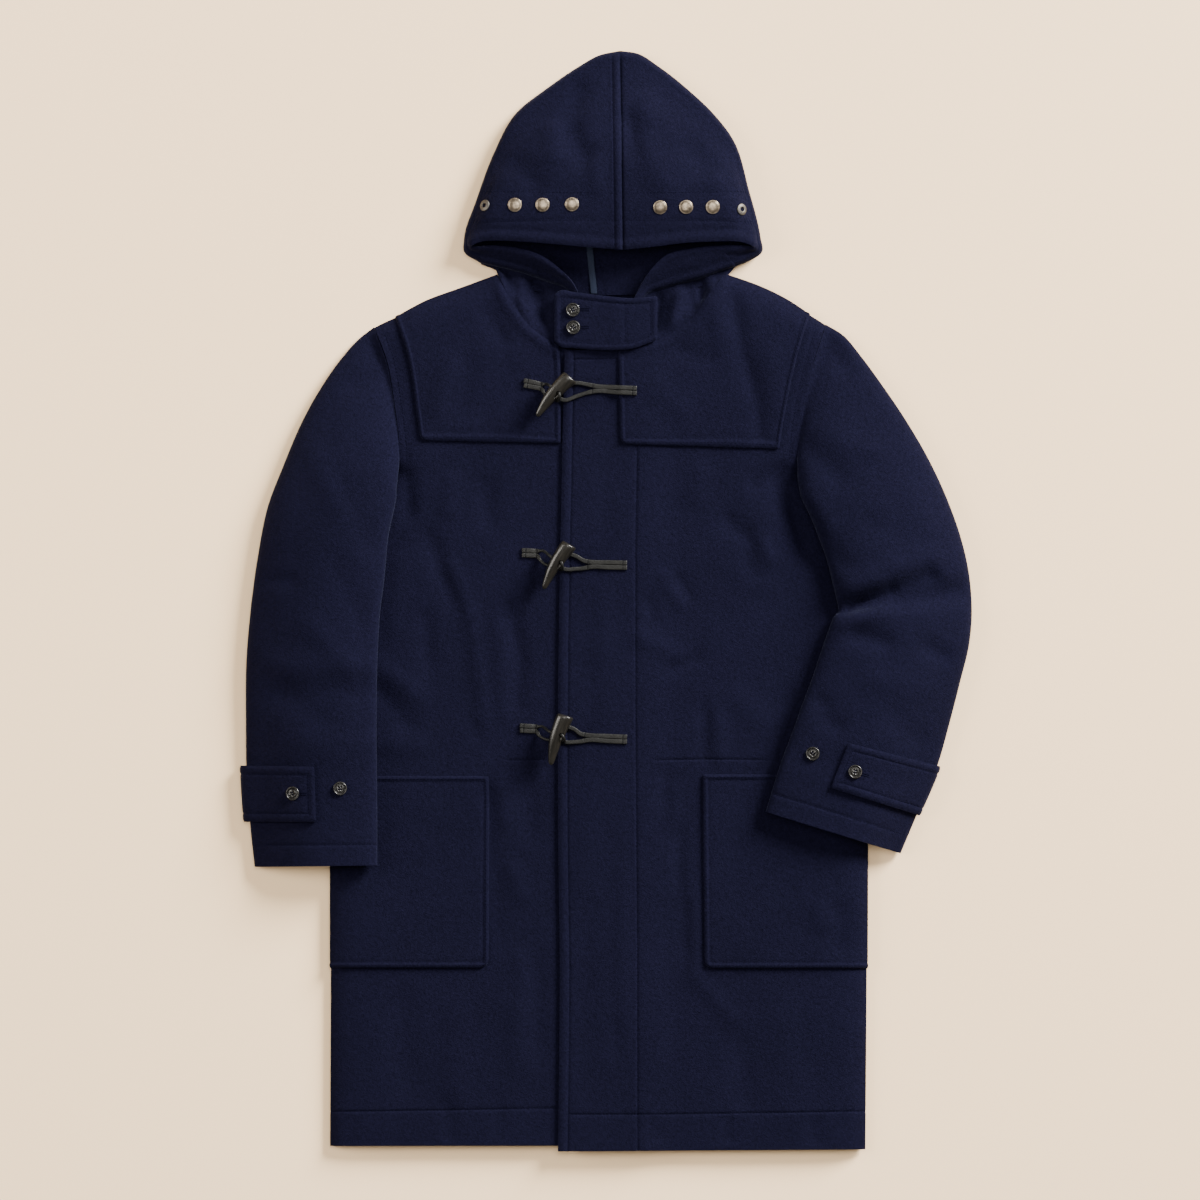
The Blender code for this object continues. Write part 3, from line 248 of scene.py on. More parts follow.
dullBlue = (0.45, 0.50, 0.90, 1)
thread = {"pattern": softPattern, "scale": 1600, "depth": 0.0002,
          "shader": {"Roughness": 0.8, "Specular IOR Level": 0.05, "Specular Tint": dullBlue}}
finishTable = {
    "navyWool": {"pattern": napPattern, "low": (0.0010, 0.0008, 0.0036), "high": (0.0047, 0.0043, 0.0141),
                 "depth": 0.0012,
                 "shader": {"Roughness": 0.92, "Sheen Weight": 0.10, "Sheen Roughness": 0.32,
                            "Sheen Tint": (0.38, 0.42, 0.68, 1), "Specular IOR Level": 0.10,
                            "Specular Tint": dullBlue}},
    "darkHorn": {"pattern": tuskPattern, "low": (0.0030, 0.0028, 0.0025), "high": (0.0135, 0.0118, 0.0094),
                 "scale": 420, "detail": 5, "depth": 0.00012,
                 "shader": {"Roughness": 0.30, "Coat Weight": 0.12, "Coat Roughness": 0.16,
                            "Specular IOR Level": 0.3}},
    "hornButton": {"pattern": streakPattern, "low": (0.0028, 0.0027, 0.0027),
                   "high": (0.0105, 0.0098, 0.0090), "scale": 260, "depth": 0.00006,
                   "shader": {"Roughness": 0.30, "Coat Weight": 0.15, "Coat Roughness": 0.12,
                              "Specular IOR Level": 0.35}},
    "blackLeather": {"pattern": leatherPattern, "low": (0.0026, 0.0027, 0.0026),
                     "high": (0.0078, 0.0079, 0.0074), "scale": 120, "pores": 1500, "depth": 0.00018,
                     "shader": {"Roughness": 0.48, "Specular IOR Level": 0.22}},
    "antiqueSilver": {"pattern": streakPattern, "low": (0.105, 0.085, 0.064), "high": (0.26, 0.212, 0.162),
                      "scale": 210, "depth": 0.00008, "shader": {"Roughness": 0.33, "Metallic": 1}},
    "dullSilver": {"pattern": streakPattern, "low": (0.045, 0.043, 0.040), "high": (0.105, 0.099, 0.090),
                   "scale": 210, "depth": 0.00008, "shader": {"Roughness": 0.55, "Metallic": 1}},
    "navyThread": {**thread, "low": (0.0011, 0.0010, 0.0040), "high": (0.0030, 0.0028, 0.0095)},
    "blackThread": {**thread, "low": (0.0015, 0.0015, 0.0017), "high": (0.005, 0.005, 0.0052)},
    "slateTape": {"pattern": weavePattern, "low": (0.0050, 0.0078, 0.0190),
                  "high": (0.0120, 0.0170, 0.0370), "scale": 330, "turn": 0.35, "depth": 0.0002,
                  "shader": {"Roughness": 0.78, "Specular IOR Level": 0.15}},
    "paleFloor": {"pattern": softPattern, "low": (0.93575, 0.67965, 0.4137), "high": (0.95, 0.69, 0.42),
                  "scale": 0.7, "depth": 0, "shader": {"Roughness": 0.85}},
}


def makeFinish(name, values):
    material = bpy.data.materials.new(name)
    material.use_nodes = True
    tree = material.node_tree
    shader = tree.nodes["Principled BSDF"]
    for label, value in values["shader"].items():
        shader.inputs[label].default_value = value
    tone, height = values["pattern"](tree, values)
    colour = addNode(tree, "ShaderNodeMix", [(0, tone)], data_type="RGBA")
    colour.inputs[6].default_value = (*values["low"], 1)
    colour.inputs[7].default_value = (*values["high"], 1)
    tree.links.new(colour.outputs[2], shader.inputs["Base Color"])
    if values["depth"]:
        bump = addNode(tree, "ShaderNodeBump", [("Height", height)], Distance=values["depth"], Strength=1)
        tree.links.new(bump.outputs[0], shader.inputs["Normal"])
    return material


finish = {name: makeFinish(name, values) for name, values in finishTable.items()}

work = bmesh.new()
bmesh.ops.create_grid(work, x_segments=2, y_segments=2, size=room["floorSize"] / 2)
bmesh.ops.translate(work, verts=work.verts, vec=(0, 0, room["floorZ"]))
floor = newObject("floor", toMesh("floor", work))
floor.data.materials.append(finish["paleFloor"])
print("room and finishes made")


# Smooth curves through short tables

# From a to b by the share t, and the same with soft ends in ease
def mix(a, b, t):
    return a + (b - a) * t


def ease(t):
    t = min(1, max(0, t))
    return t * t * (3 - 2 * t)


def bell(distance, width):
    return math.exp(-(distance / width) ** 2)


# A smooth curve through the rows of a table, with a value for each column
def smoothRows(rows, knots, corners=()):
    last = len(rows) - 1
    runs = [[(b - a) / (knots[i + 1] - knots[i]) for a, b in zip(rows[i], rows[i + 1])]
            for i in range(last)]
    arriving, leaving = [], []
    for i in range(last + 1):
        before, after = runs[max(i - 1, 0)], runs[min(i, last - 1)]
        if 0 < i < last and i not in corners:
            share = (knots[i] - knots[i - 1]) / (knots[i + 1] - knots[i - 1])
            before = after = [mix(a, b, share) for a, b in zip(before, after)]
        arriving.append(before)
        leaving.append(after)

    def valueAt(knot):
        knot = min(knots[-1], max(knots[0], knot))
        i = min(bisect_right(knots, knot), last) - 1
        span = knots[i + 1] - knots[i]
        t = (knot - knots[i]) / span
        h0, h1 = (1 + 2 * t) * (1 - t) ** 2, t * t * (3 - 2 * t)
        g0, g1 = t * (1 - t) ** 2 * span, t * t * (t - 1) * span
        return [h0 * a + h1 * b + g0 * u + g1 * v
                for a, b, u, v in zip(rows[i], rows[i + 1], leaving[i], arriving[i + 1])]
    return valueAt


# The same, where the rows are spaced by the distance of their first two columns
def rowCurve(rows, corners=()):
    knots = [0]                      # distance along the first two columns
    for a, b in zip(rows, rows[1:]):
        knots.append(knots[-1] + max(1, math.hypot(b[0] - a[0], b[1] - a[1])))
    smooth = smoothRows(rows, knots, corners)

    def valueAt(place):
        i = min(max(int(place), 0), len(rows) - 2)
        return smooth(mix(knots[i], knots[i + 1], place - i))
    return valueAt


# A path through points, measured by its length, from 0 to 1
def pathThrough(points, corners=(), steps=8):
    curve = rowCurve(points, corners)
    dense = [Vector(curve(i / steps)) for i in range((len(points) - 1) * steps + 1)]
    lengths = [0]
    for a, b in zip(dense, dense[1:]):
        lengths.append(lengths[-1] + (b - a).length)

    def pointAt(t):
        target = min(1, max(0, t)) * lengths[-1]
        i = min(bisect_right(lengths, target), len(dense) - 1) - 1
        return dense[i].lerp(dense[i + 1], (target - lengths[i]) / (lengths[i + 1] - lengths[i]))
    pointAt.length = lengths[-1]
    pointAt.points = dense
    return pointAt


# Places from low to high, which stand closer near the marks
def stations(low, high, cell, marks=(), finest=1.1, reach=4, growth=0.45):
    places = [low]
    while places[-1] < high:
        near = min(abs(places[-1] - mark) for mark in (low, high, *marks))
        places.append(places[-1] + min(cell, finest + growth * max(0, near - reach)))
    stretch = (high - low) / (places[-1] - low)
    return [low + (p - low) * stretch for p in places]


# Distance in plan from a point to a line
def distanceTo(path, x, y):
    best = 1e9
    for (x0, y0), (x1, y1) in zip(path, path[1:]):
        dx, dy = x1 - x0, y1 - y0
        t = min(1, max(0, ((x - x0) * dx + (y - y0) * dy) / (dx * dx + dy * dy)))
        best = min(best, math.hypot(x - x0 - t * dx, y - y0 - t * dy))
    return best


# Cloth made as a grid laid through rows of points

# A grid with its points moved onto rows of points, closed all round for a tube
def gridMesh(name, rows, closed=False):
    columns = len(rows[0]) + (1 if closed else 0)
    work = bmesh.new()
    bmesh.ops.create_grid(work, x_segments=columns - 1, y_segments=len(rows) - 1, size=0.5)
    for vert in work.verts:
        column = round((vert.co.x + 0.5) * (columns - 1)) % len(rows[0])
        row = round((vert.co.y + 0.5) * (len(rows) - 1))
        vert.co = rows[row][column] * mm
    if closed:
        bmesh.ops.remove_doubles(work, verts=work.verts, dist=0.00001)
    facingOut(work)
    mesh = toMesh(name, work)
    mesh.shade_smooth()
    return mesh


def place(name, mesh, material):
    piece = newObject(name, mesh)
    mesh.materials.clear()
    mesh.materials.append(material)
    made[name] = piece
    return piece


# A sheet through rows of points, given its thickness and soft edges
def clothPiece(name, rows, node, thickness=3, rounding=1.3, closed=False, look="navyWool"):
    piece = place(name, gridMesh(name, rows, closed), finish[look])
    shell = piece.modifiers.new("thickness", "SOLIDIFY")
    shell.thickness = thickness * mm
    shell.offset = 0
    edge = piece.modifiers.new("softEdge", "BEVEL")
    edge.width = rounding * mm
    edge.segments = 3
    edge.limit_method = "ANGLE"
    edge.angle_limit = math.radians(55)
    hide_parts(node)
    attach(piece, "root")
    return piece


# Rows of points moved off a surface, by one distance or a table of them
def movedOut(rows, distance):
    result = []
    lastRow, lastColumn = len(rows) - 1, len(rows[0]) - 1
    for j, row in enumerate(rows):
        line = []
        for i, point in enumerate(row):
            across = row[min(i + 1, lastColumn)] - row[max(i - 1, 0)]
            along = rows[min(j + 1, lastRow)][i] - rows[max(j - 1, 0)][i]
            normal = across.cross(along).normalized()
            if normal.z < 0:
                normal.negate()
            line.append(point + normal * (distance[j][i] if isinstance(distance, list) else distance))
        result.append(line)
    return result


# Bends a square grid's corner to a radius
def roundCorner(a, b, radius):
    if a >= radius or b >= radius:
        return a, b
    s, t = 1 - a / radius, 1 - b / radius
    return (radius * (1 - s * math.sqrt(1 - t * t / 2)),
            radius * (1 - t * math.sqrt(1 - s * s / 2)))


# Body outline

body = {
    "cloth": 3, "gap": 0.35, "cell": 5.4,                         # thickness, seam, grid
    "backZ": 1.5, "edgeZ": 5.1, "frontZ": 13.5,                     # heights of the cloth's middle
    "edgeEase": 12, "lapEase": 45, "lapRound": 7,             # widths over which they change
    "hemY": -630, "hemStep": 47, "hemStitch": -588, "flapStitch": -183.4,
    "hipY": -300, "underarmY": 148,
    "yokeFrom": 120, "yokeY": 181, "topStep": 105, "neckY": 373.6,
    "underLapX": 33, "lapEdge": 54.5, "steady": 120,
    "waves": 0.45, "foldLean": 0.55, "foldReach": 2.6,
    "trough": 1, "troughWidth": 1.5, "troughReach": 6,
    "neckRim": 2.3, "neckRimAt": 5.5, "neckRimWidth": 4.6, "neckReach": 22, "armholeStitch": 8.5,
}

sideRows = (                # y, right x, left x
    (-632, -316.5, 297.5), (-421.5, -315.5, 299), (-204, -314.5, 299), (-60, -311, 297.5),
    (0, -303, 288.5), (60, -285, 265), (110, -262, 241), (148, -240, 221),
)
shoulderPoints = {
    "right": ((-266, 313), (-243, 324.5), (-207, 343), (-169, 357), (-125, 373)),
    "left": ((252, 316), (236.5, 326), (206, 345.5), (184, 357), (136, 374.2)),
}
armholePoints = {
    "right": ((-240, 148), (-237.5, 162), (-238, 181), (-243, 222), (-252, 275),
              (-266, 313)),
    "left": ((221, 148), (219.5, 162), (221, 181), (228, 230), (240, 281),
             (252, 316)),
}
backNeckPoints = ((-125, 373), (-80, 364), (-30, 359.5), (30, 359.5), (85, 365),
                  (136, 374.2))
edgeRows = (                # y, left front's edge x
    (-633, -55), (-500, -53.5), (-421.5, -53), (-277, -54.8), (-204, -55.2), (-60, -54.4),
    (60, -52.4), (148, -50.5), (181, -50), (290, -47),
)
topRows = {                 # where a column crosses the yoke's lower edge, then meets the top edge
    "right": ((-238, -266, 313), (-229, -256.5, 318), (-212.5, -241, 325),
              (-190, -207, 343), (-160, -169, 357), (-130, -125, 373),
              (-105, -108, 341), (-80, -88, 314), (-51.5, -52, 291),
              (-15, -15, 286), (33, 33, 286)),
    "left": ((-50, -47, 288), (-18, -16, 287.5), (17, 15, 289), (40, 39, 294),
             (66, 66, 300.5), (92, 98, 322), (115, 118, 349), (138, 136, 374.2),
             (160, 175, 360.5), (180, 206, 345.5), (198, 233, 328),
             (210, 242, 322.5), (221, 252, 316)),
}
slants = {                  # hem at side and edge, yoke's lower edge at side and front edge
    "right": (3, 4, 4, -1.5),
    "left": (-0.8, -3, -7, 1.5),
}

sideCurve = {side: smoothRows([(row[column],) for row in sideRows], [row[0] for row in sideRows])
             for side, column in (("right", 1), ("left", 2))}
edgeCurve = smoothRows([(row[1],) for row in edgeRows], [row[0] for row in edgeRows])
topCurve = {side: smoothRows([row[1:] for row in rows], [row[0] for row in rows],
                             [i for i, row in enumerate(rows) if row[2] > 370])
            for side, rows in topRows.items()}
armholePath = {side: pathThrough(points) for side, points in armholePoints.items()}
upperArmhole = {side: pathThrough(points[2:]) for side, points in armholePoints.items()}
shoulderCurve = {
    side: smoothRows([(y,) for _, y in sorted(points)], [x for x, _ in sorted(points)])
    for side, points in shoulderPoints.items()}


def sideX(y, side):
    return sideCurve[side](y)[0]


def edgeX(y):
    return edgeCurve(y)[0]


# How far a place lies from the closed edges of the body, which stay low
def closedDistance(x, y):
    pastUnderarm = max(0, y - sideRows[-1][0]) * 1.5
    fromSides = min(x - sideX(y, "right"), sideX(y, "left") - x) + pastUnderarm
    side = "right" if x < 0 else "left"
    neckX, neckY = shoulderPoints[side][-1]
    past = abs(neckX) - abs(x)
    fromShoulder = (shoulderCurve[side](x)[0] - y) * 0.9
    if past > 0:
        fromShoulder = (mix(neckY, body["neckY"], past / abs(neckX)) - y) * 0.9 + past * 1.2
    return max(0, min(fromSides, fromShoulder))


# Soft folds of the body: from, to, half width and height, a trough below zero
bodyFolds = (
    (150, 362, 160, 300, 9, -3.6), (160, 298, 177, 240, 10, -3.4),
    (178, 238, 183, 186, 10, -2.6), (128, 352, 138, 300, 10, 1.8),
    (196, 300, 204, 220, 14, 1.8), (84, 292, 132, 280, 9, -2),
    (-134, 342, -108, 300, 11, -2.4), (-170, 286, -192, 220, 12, 2.4),
    (-148, 286, -164, 216, 13, -1.8), (-224, 152, -221, 96, 9, -3.2),
    (214, 160, 172, 136, 11, -2.6), (208, 150, 238, 52, 15, -6.5), (-262, -64, -204, -110, 11, 2),
    (-262, -90, -214, -142, 13, -2.6), (-264, -156, -200, -160, 13, 1.8),
    (-204, -8, -198, -80, 9, -2.2), (198, 112, 184, 20, 20, 1.6),
    (222, -96, 206, -172, 12, -1.8), (-230, 60, -240, -30, 13, 1.4),
    (-290, -588, -288, -622, 8, -1.1), (244, -588, 246, -620, 9, -1.3),
    (-228, -440, -220, -560, 18, -1.7), (214, -450, 222, -590, 22, 1.7),
    (248, -340, 256, -372, 11, 1.8), (276, -340, 276, -402, 12, -2),
)
smallFolds = (
    (-200, 86, -162, -6, 12, -2.8), (-177, 52, -149, -18, 9, 2.6),
    (-149, -18, -135, -140, 9, 2.3), (-170, 150, -178, 104, 11, 2.2),
    (-133, 146, -127, 88, 12, -2.4), (-106, 2, -94, -66, 9, -3),
    (-93, -64, -98, -122, 9, -2.5), (-119, -8, -113, -130, 10, 1.7),
    (-147.5, -138, -147, -160, 5, -1.4), (-116, -198, -112, -256, 8, 1.8),
    (-128, -210, -126, -300, 8, -1.8), (-84, -198, -80, -272, 12, -1.8),
    (-102, -298, -90, -342, 10, 1.8), (-122, -300, -121, -384, 8, -1.6),
    (-95, -398, -93, -446, 9, 1.6), (-96, -452, -98, -532, 12, 1.8),
    (-74, -400, -72, -522, 10, -1.4), (-160, -450, -170, -562, 16, 1.6),
    (-176, -572, -174, -616, 9, -1.7), (-120, -560, -118, -612, 10, -1.1),
    (140, 102, 182, 72, 13, -3), (178, 82, 198, 46, 9, 2.4),
    (164, 60, 178, 28, 9, -1.6), (68, 38, 93, -4, 9, 2.2),
    (84, 32, 102, 4, 7, -2), (51, 12, 60, -26, 8, -1.8),
    (38, -34, 96, -62, 10, 1.8), (76, -77, 116, -59, 8, -2),
    (116, -116, 117, -182, 7, -2.4), (131, -118, 136, -182, 8, 1.9),
    (150, -96, 196, -138, 16, 1.7), (81, -208, 82, -262, 6, 1.5),
    (88, -254, 88, -332, 6.5, -2), (72, -188, 72, -234, 8, -1.6),
    (104, -326, 106, -436, 8, 1.9), (95, -344, 96, -412, 6.5, -1.7),
    (110, -428, 152, -480, 9, 1.7), (24, -296, 24, -500, 8, 1.2),
    (15, -480, 17, -520, 7, -1.5), (145, -588, 145, -618, 9, -1.7),
    (60, -590, 62, -618, 9, -1.2), (8, 180, 6, 60, 13, -1.1),
    (120, 160, 106, 118, 12, 1.5), (4, 20, 2, -60, 12, 1.1),
    (-14, -60, -12, -150, 12, -1.2), (60, 262, 104, 214, 14, 1.6),
    (-96, 272, -140, 212, 13, -1.6), (160, -490, 170, -580, 14, -1.4),
    (-12, -220, -18, -330, 14, 1), (-20, -360, -14, -560, 14, -1.1),
)


# Troughs and ridges at a place, each fading towards its ends
def foldHeight(x, y, folds):
    total = 0
    for x0, y0, x1, y1, width, height in folds:
        x0, y0, x1, y1 = (c - body["foldLean"] * width for c in (x0, y0, x1, y1))
        dx, dy = x1 - x0, y1 - y0
        length = math.hypot(dx, dy)
        beside = abs((x - x0) * dy - (y - y0) * dx) / length / width
        if beside > body["foldReach"]:
            continue
        along = ((x - x0) * dx + (y - y0) * dy) / length ** 2
        total += height * math.exp(-beside * beside) * ease(along * 3 + 0.5) * ease(3.5 - along * 3)
    return total


# Slow unevenness of the cloth, without a fixed repeat
def uneven(x, y, size, seed=0):
    return noise.noise(Vector((x / size, y / size, seed)))


# Share of the full height that the cloth has reached
def riseAt(x, y):
    return 1 - math.exp(-closedDistance(x, y) / body["edgeEase"])


def smoothBodyZ(x, y):
    rise = riseAt(x, y)
    return mix(body["edgeZ"], body["frontZ"], rise) + foldHeight(x, y, bodyFolds) * rise


def frontZ(x, y):
    waves = uneven(x, y, 70) + 0.6 * uneven(x, y, 24, 4)
    return smoothBodyZ(x, y) + (foldHeight(x, y, smallFolds) + body["waves"] * waves) * riseAt(x, y)


# The left front lies a cloth and a gap higher where it laps over the right one
def lapRise(x):
    past = (x - body["underLapX"] - body["lapRound"]) / body["lapEase"]
    return (body["cloth"] + body["gap"]) * (1 - ease(past))


# Plan of a front: p runs from its front edge, q up from the hem, and past the yoke's edge to the top
def frontFlat(side, p, q):
    y = min(q, body["yokeY"])
    sign = 1 if side == "left" else -1
    start = edgeX(y) if side == "left" else body["underLapX"]
    width = sign * (sideX(y, side) if y < body["underarmY"] else armholeX(side, y)) - sign * start
    nominal = panelWidth[side]
    steady = body["steady"]
    d = p if p < steady else steady + (p - steady) * (width - steady) / (nominal - steady)
    x = start + sign * d
    u = d / width
    hemSide, hemEdge, yokeSide, yokeEdge = slants[side]
    y += mix(hemEdge, hemSide, u) * (1 - ease((q - body["hemY"]) / body["hemStep"]))
    y += mix(yokeEdge, yokeSide, u) * ease((q - body["yokeFrom"]) / (body["yokeY"] - body["yokeFrom"]))
    flat = Vector((x, y))
    if q > body["yokeY"]:
        t = (q - body["yokeY"]) / body["topStep"]
        top = Vector(topCurve[side](x))
        path = upperArmhole[side]
        bend = path(t) - path(0).lerp(path(1), t)
        flat = flat.lerp(top, t) + bend * u * u
    return flat


def armholeX(side, y):
    low, _, high = armholePoints[side][:3]
    return mix(low[0], high[0], (y - low[1]) / (high[1] - low[1]))


panelWidth = {"right": body["underLapX"] - sideX(body["hipY"], "right"),
              "left": sideX(body["hipY"], "left") + body["lapEdge"]}


# Lines of topstitching on the fronts, in the plan of the coat
frontStitches = {
    "left": [
        [(-44, -632), (-42.4, -500), (-42, -421), (-43.8, -277), (-44.2, -204),
         (-43.4, -60), (-41.4, 60), (-39.5, 148), (-38.6, 200), (-37, 288)],
        [(-37, 277.2), (-10, 277.2), (13.5, 278.4)],
        [(36.4, -632), (36, -400), (34.2, -150), (34, 60), (36.2, 178)],
        [(-40, -590.5), (60, -590.5), (200, -588.5), (296, -587)],
        [(58.5, -183.4), (120, -182.4), (186, -183.4)],
    ],
    "right": [
        [(-315, -587.5), (-200, -586), (-57, -583.5)],
        [(-110.5, -183.4), (-70, -183)],
    ],
}


# A stitched line beside the armhole
def alongArmhole(side, inset):
    points = armholePath[side].points[8:]
    line = []
    for before, after in zip(points, points[1:]):
        run = (after - before).normalized()
        inward = Vector((run.y, -run.x)) * (1 if side == "right" else -1)
        line.append(tuple(before + inward * inset))
    return line[::3]


for side in bothSides:
    frontStitches[side].append(alongArmhole(side, body["armholeStitch"]))


neckLine = {                # neckline, where the hood is sewn in
    "right": [(-125, 373), (-108, 341), (-88, 314), (-64, 297), (-50, 290)],
    "left": [(136, 374.2), (118, 349), (98, 322), (66, 300.5), (39, 294)],
}


# The front's cloth at p and q, with its stitched lines, neck rim and edge
def frontSurface(side, p, q):
    flat = frontFlat(side, p, q)
    x, y = flat
    z = frontZ(x, y) + (lapRise(x) if side == "left" else 0)
    for line in frontStitches[side]:
        away = distanceTo(line, x, y)
        if away < body["troughReach"]:
            z -= body["trough"] * bell(away, body["troughWidth"])
    fromNeck = distanceTo(neckLine[side], x, y)
    if fromNeck < body["neckReach"]:
        z += body["neckRim"] * bell(fromNeck - body["neckRimAt"], body["neckRimWidth"])
    if side == "left":
        fromEdge = x - edgeX(y)
        z += 0.9 * bell(fromEdge - 5, 4.2) - 0.5 * bell(fromEdge, 2)
    return Vector((x, y, z))


frontMarks = {"left": (11, 89.5), "right": ()}       # where the grid is fine, at the stitched lines
for side in bothSides:
    ps = stations(0, panelWidth[side], body["cell"], frontMarks[side])
    qs = stations(body["hemY"], body["yokeY"] + body["topStep"], body["cell"],
                  (body["hemStitch"], body["flapStitch"], body["yokeY"] + 0.9 * body["topStep"]))
    rows = [[frontSurface(side, p, q) for p in ps] for q in qs]
    clothPiece("front_" + side + "_cloth", rows, "front_" + side)
print("fronts laid")


# Back panel, of which only the edges show

back = {"hemY": -627, "underarm": (-240, 221), "neck": (0.32, 0.68), "rows": 22, "topRows": 12}


# The back panel, with u across it and t from the hem to the underarm, then on to the neck
def backFlat(u, t):
    side = "right" if u < 0.5 else "left"
    if t <= 1:
        y = mix(back["hemY"], body["underarmY"], t)
        return Vector((mix(sideX(y, "right"), sideX(y, "left"), u), y, body["backZ"]))
    v = t - 1
    foot = Vector((mix(*back["underarm"], u), body["underarmY"]))
    top = backTop(u)
    path = armholePath[side]
    bend = path(v) - path(0).lerp(path(1), v)
    flat = foot.lerp(top, v) + bend * abs(2 * u - 1) ** 3
    return Vector((flat.x, flat.y, body["backZ"]))


shoulderPath = {side: pathThrough(points) for side, points in shoulderPoints.items()}
backNeckPath = pathThrough(backNeckPoints)


def backTop(u):
    start, end = back["neck"]
    if u < start:
        return shoulderPath["right"](u / start)
    if u > end:
        return shoulderPath["left"]((1 - u) / start)
    return backNeckPath((u - start) / (end - start))


us = stations(0, 1, 0.03, back["neck"], 0.008, 0.01, 0.3)
ts = [t / back["rows"] for t in range(back["rows"] + 1)]
ts += [1 + (t + 1) / back["topRows"] for t in range(back["topRows"])]
clothPiece("back_cloth", [[backFlat(u, t) for u in us] for t in ts], "back")
print("back laid")


# Shoulder yokes and patch pockets, from the front's own points moved out

trims = {"lift": 3.15, "cell": 5, "thick": 2.8, "bead": 0.9, "beadWidth": 1.7, "beadAt": 2.2,
         "groove": 0.55, "grooveWidth": 1.5, "grooveAt": 5.6, "edge": 0.8, "topSink": 1.1, "topReach": 14,
         "corner": {"yoke": 9, "pocket": 11}, "stitch": 2.6}


def edgeBead(away):
    return (trims["bead"] * bell(away - trims["beadAt"], trims["beadWidth"])
            - trims["groove"] * bell(away - trims["grooveAt"], trims["grooveWidth"])
            - trims["edge"] * bell(away, 1.2))


# A layer that follows the front below it, with round corners and beads at its sewn edges
def trimRows(side, p0, p1, q0, q1, corners, radius, beads):
    ps = stations(p0, p1, trims["cell"])
    qs = stations(q0, q1, trims["cell"])
    rows, lifts = [], []
    for q in qs:
        row, lift = [], []
        for p in ps:
            a, b = p, q
            if "lowFront" in corners:
                da, db = roundCorner(p - p0, q - q0, radius)
                a, b = p0 + da, q0 + db
            if "lowSide" in corners and p1 - p < radius:
                da, db = roundCorner(p1 - p, b - q0, radius)
                a, b = p1 - da, q0 + db
            row.append(frontSurface(side, a, b))
            away = min([{"low": q - q0, "high": q1 - q, "front": p - p0, "side": p1 - p}[edge]
                        for edge in beads])
            sink = 0 if "high" in beads else trims["topSink"] * ease(1 - (q1 - q) / trims["topReach"])
            lift.append(trims["lift"] + edgeBead(away) - sink)
        rows.append(row)
        lifts.append(lift)
    return movedOut(rows, lifts)


yokeTable = {               # from and to across the front, from its front edge
    "right": (86.1, 245.5, ("lowSide",), ("low", "side", "front")),
    "left": (67, 248, ("lowFront",), ("low", "front", "side")),
}
pocketTable = {             # from and to across the front, from and to up it
    "right": (168.7, 349, -421.5, -202.5),
    "left": (167, 353.3, -422, -200.5),
}
trimEdges = {}


def makeTrim(kind, side, p0, p1, q0, q1, corners, beads):
    piece = kind + "_" + side
    trimEdges[piece] = (p0, p1, q0, q1, beads)
    rows = trimRows(side, p0, p1, q0, q1, corners, trims["corner"][kind], beads)
    clothPiece(piece + "_cloth", rows, piece, trims["thick"])


for side, (p0, p1, corners, beads) in yokeTable.items():
    top = body["yokeY"]
    start = edgeX(top) if side == "left" else body["underLapX"]
    stretch = (panelWidth[side] - body["steady"]) / (abs(armholeX(side, top) - start) - body["steady"])
    far = body["steady"] + (p1 - body["steady"]) * stretch
    makeTrim("yoke", side, p0, far, top, top + body["topStep"], corners, beads)
for side, (p0, p1, q0, q1) in pocketTable.items():
    makeTrim("pocket", side, p0, min(p1, panelWidth[side] - 0.4), q0, q1, ("lowFront",),
             ("low", "high", "front"))
print("yokes and pockets laid")


# Sleeves, each a tube of cloth lying flat

sleeve = {"foldZ": 6.8, "foldRound": 9, "over": 4.8, "climb": 20, "clear": 9, "power": 2.9, "hold": 1.6,
          "topSteps": 9, "lowSteps": 13, "growth": 14, "mostFloor": 0.86, "bend": 2, "seam": 0.1,
          "shoulderFoldZ": 3.4, "shoulderTurn": 2.6, "fullTurn": 5.2, "headZ": 5.4, "headRise": 2.4,
          "outerAngles": (0, 35, 70), "innerAngles": (55, 20), "acrossBody": (0.18, 0.42, 0.7, 1),
          "cell": 6, "hemTrough": 0.8, "hem": {"right": 12.52, "left": 15.55}}

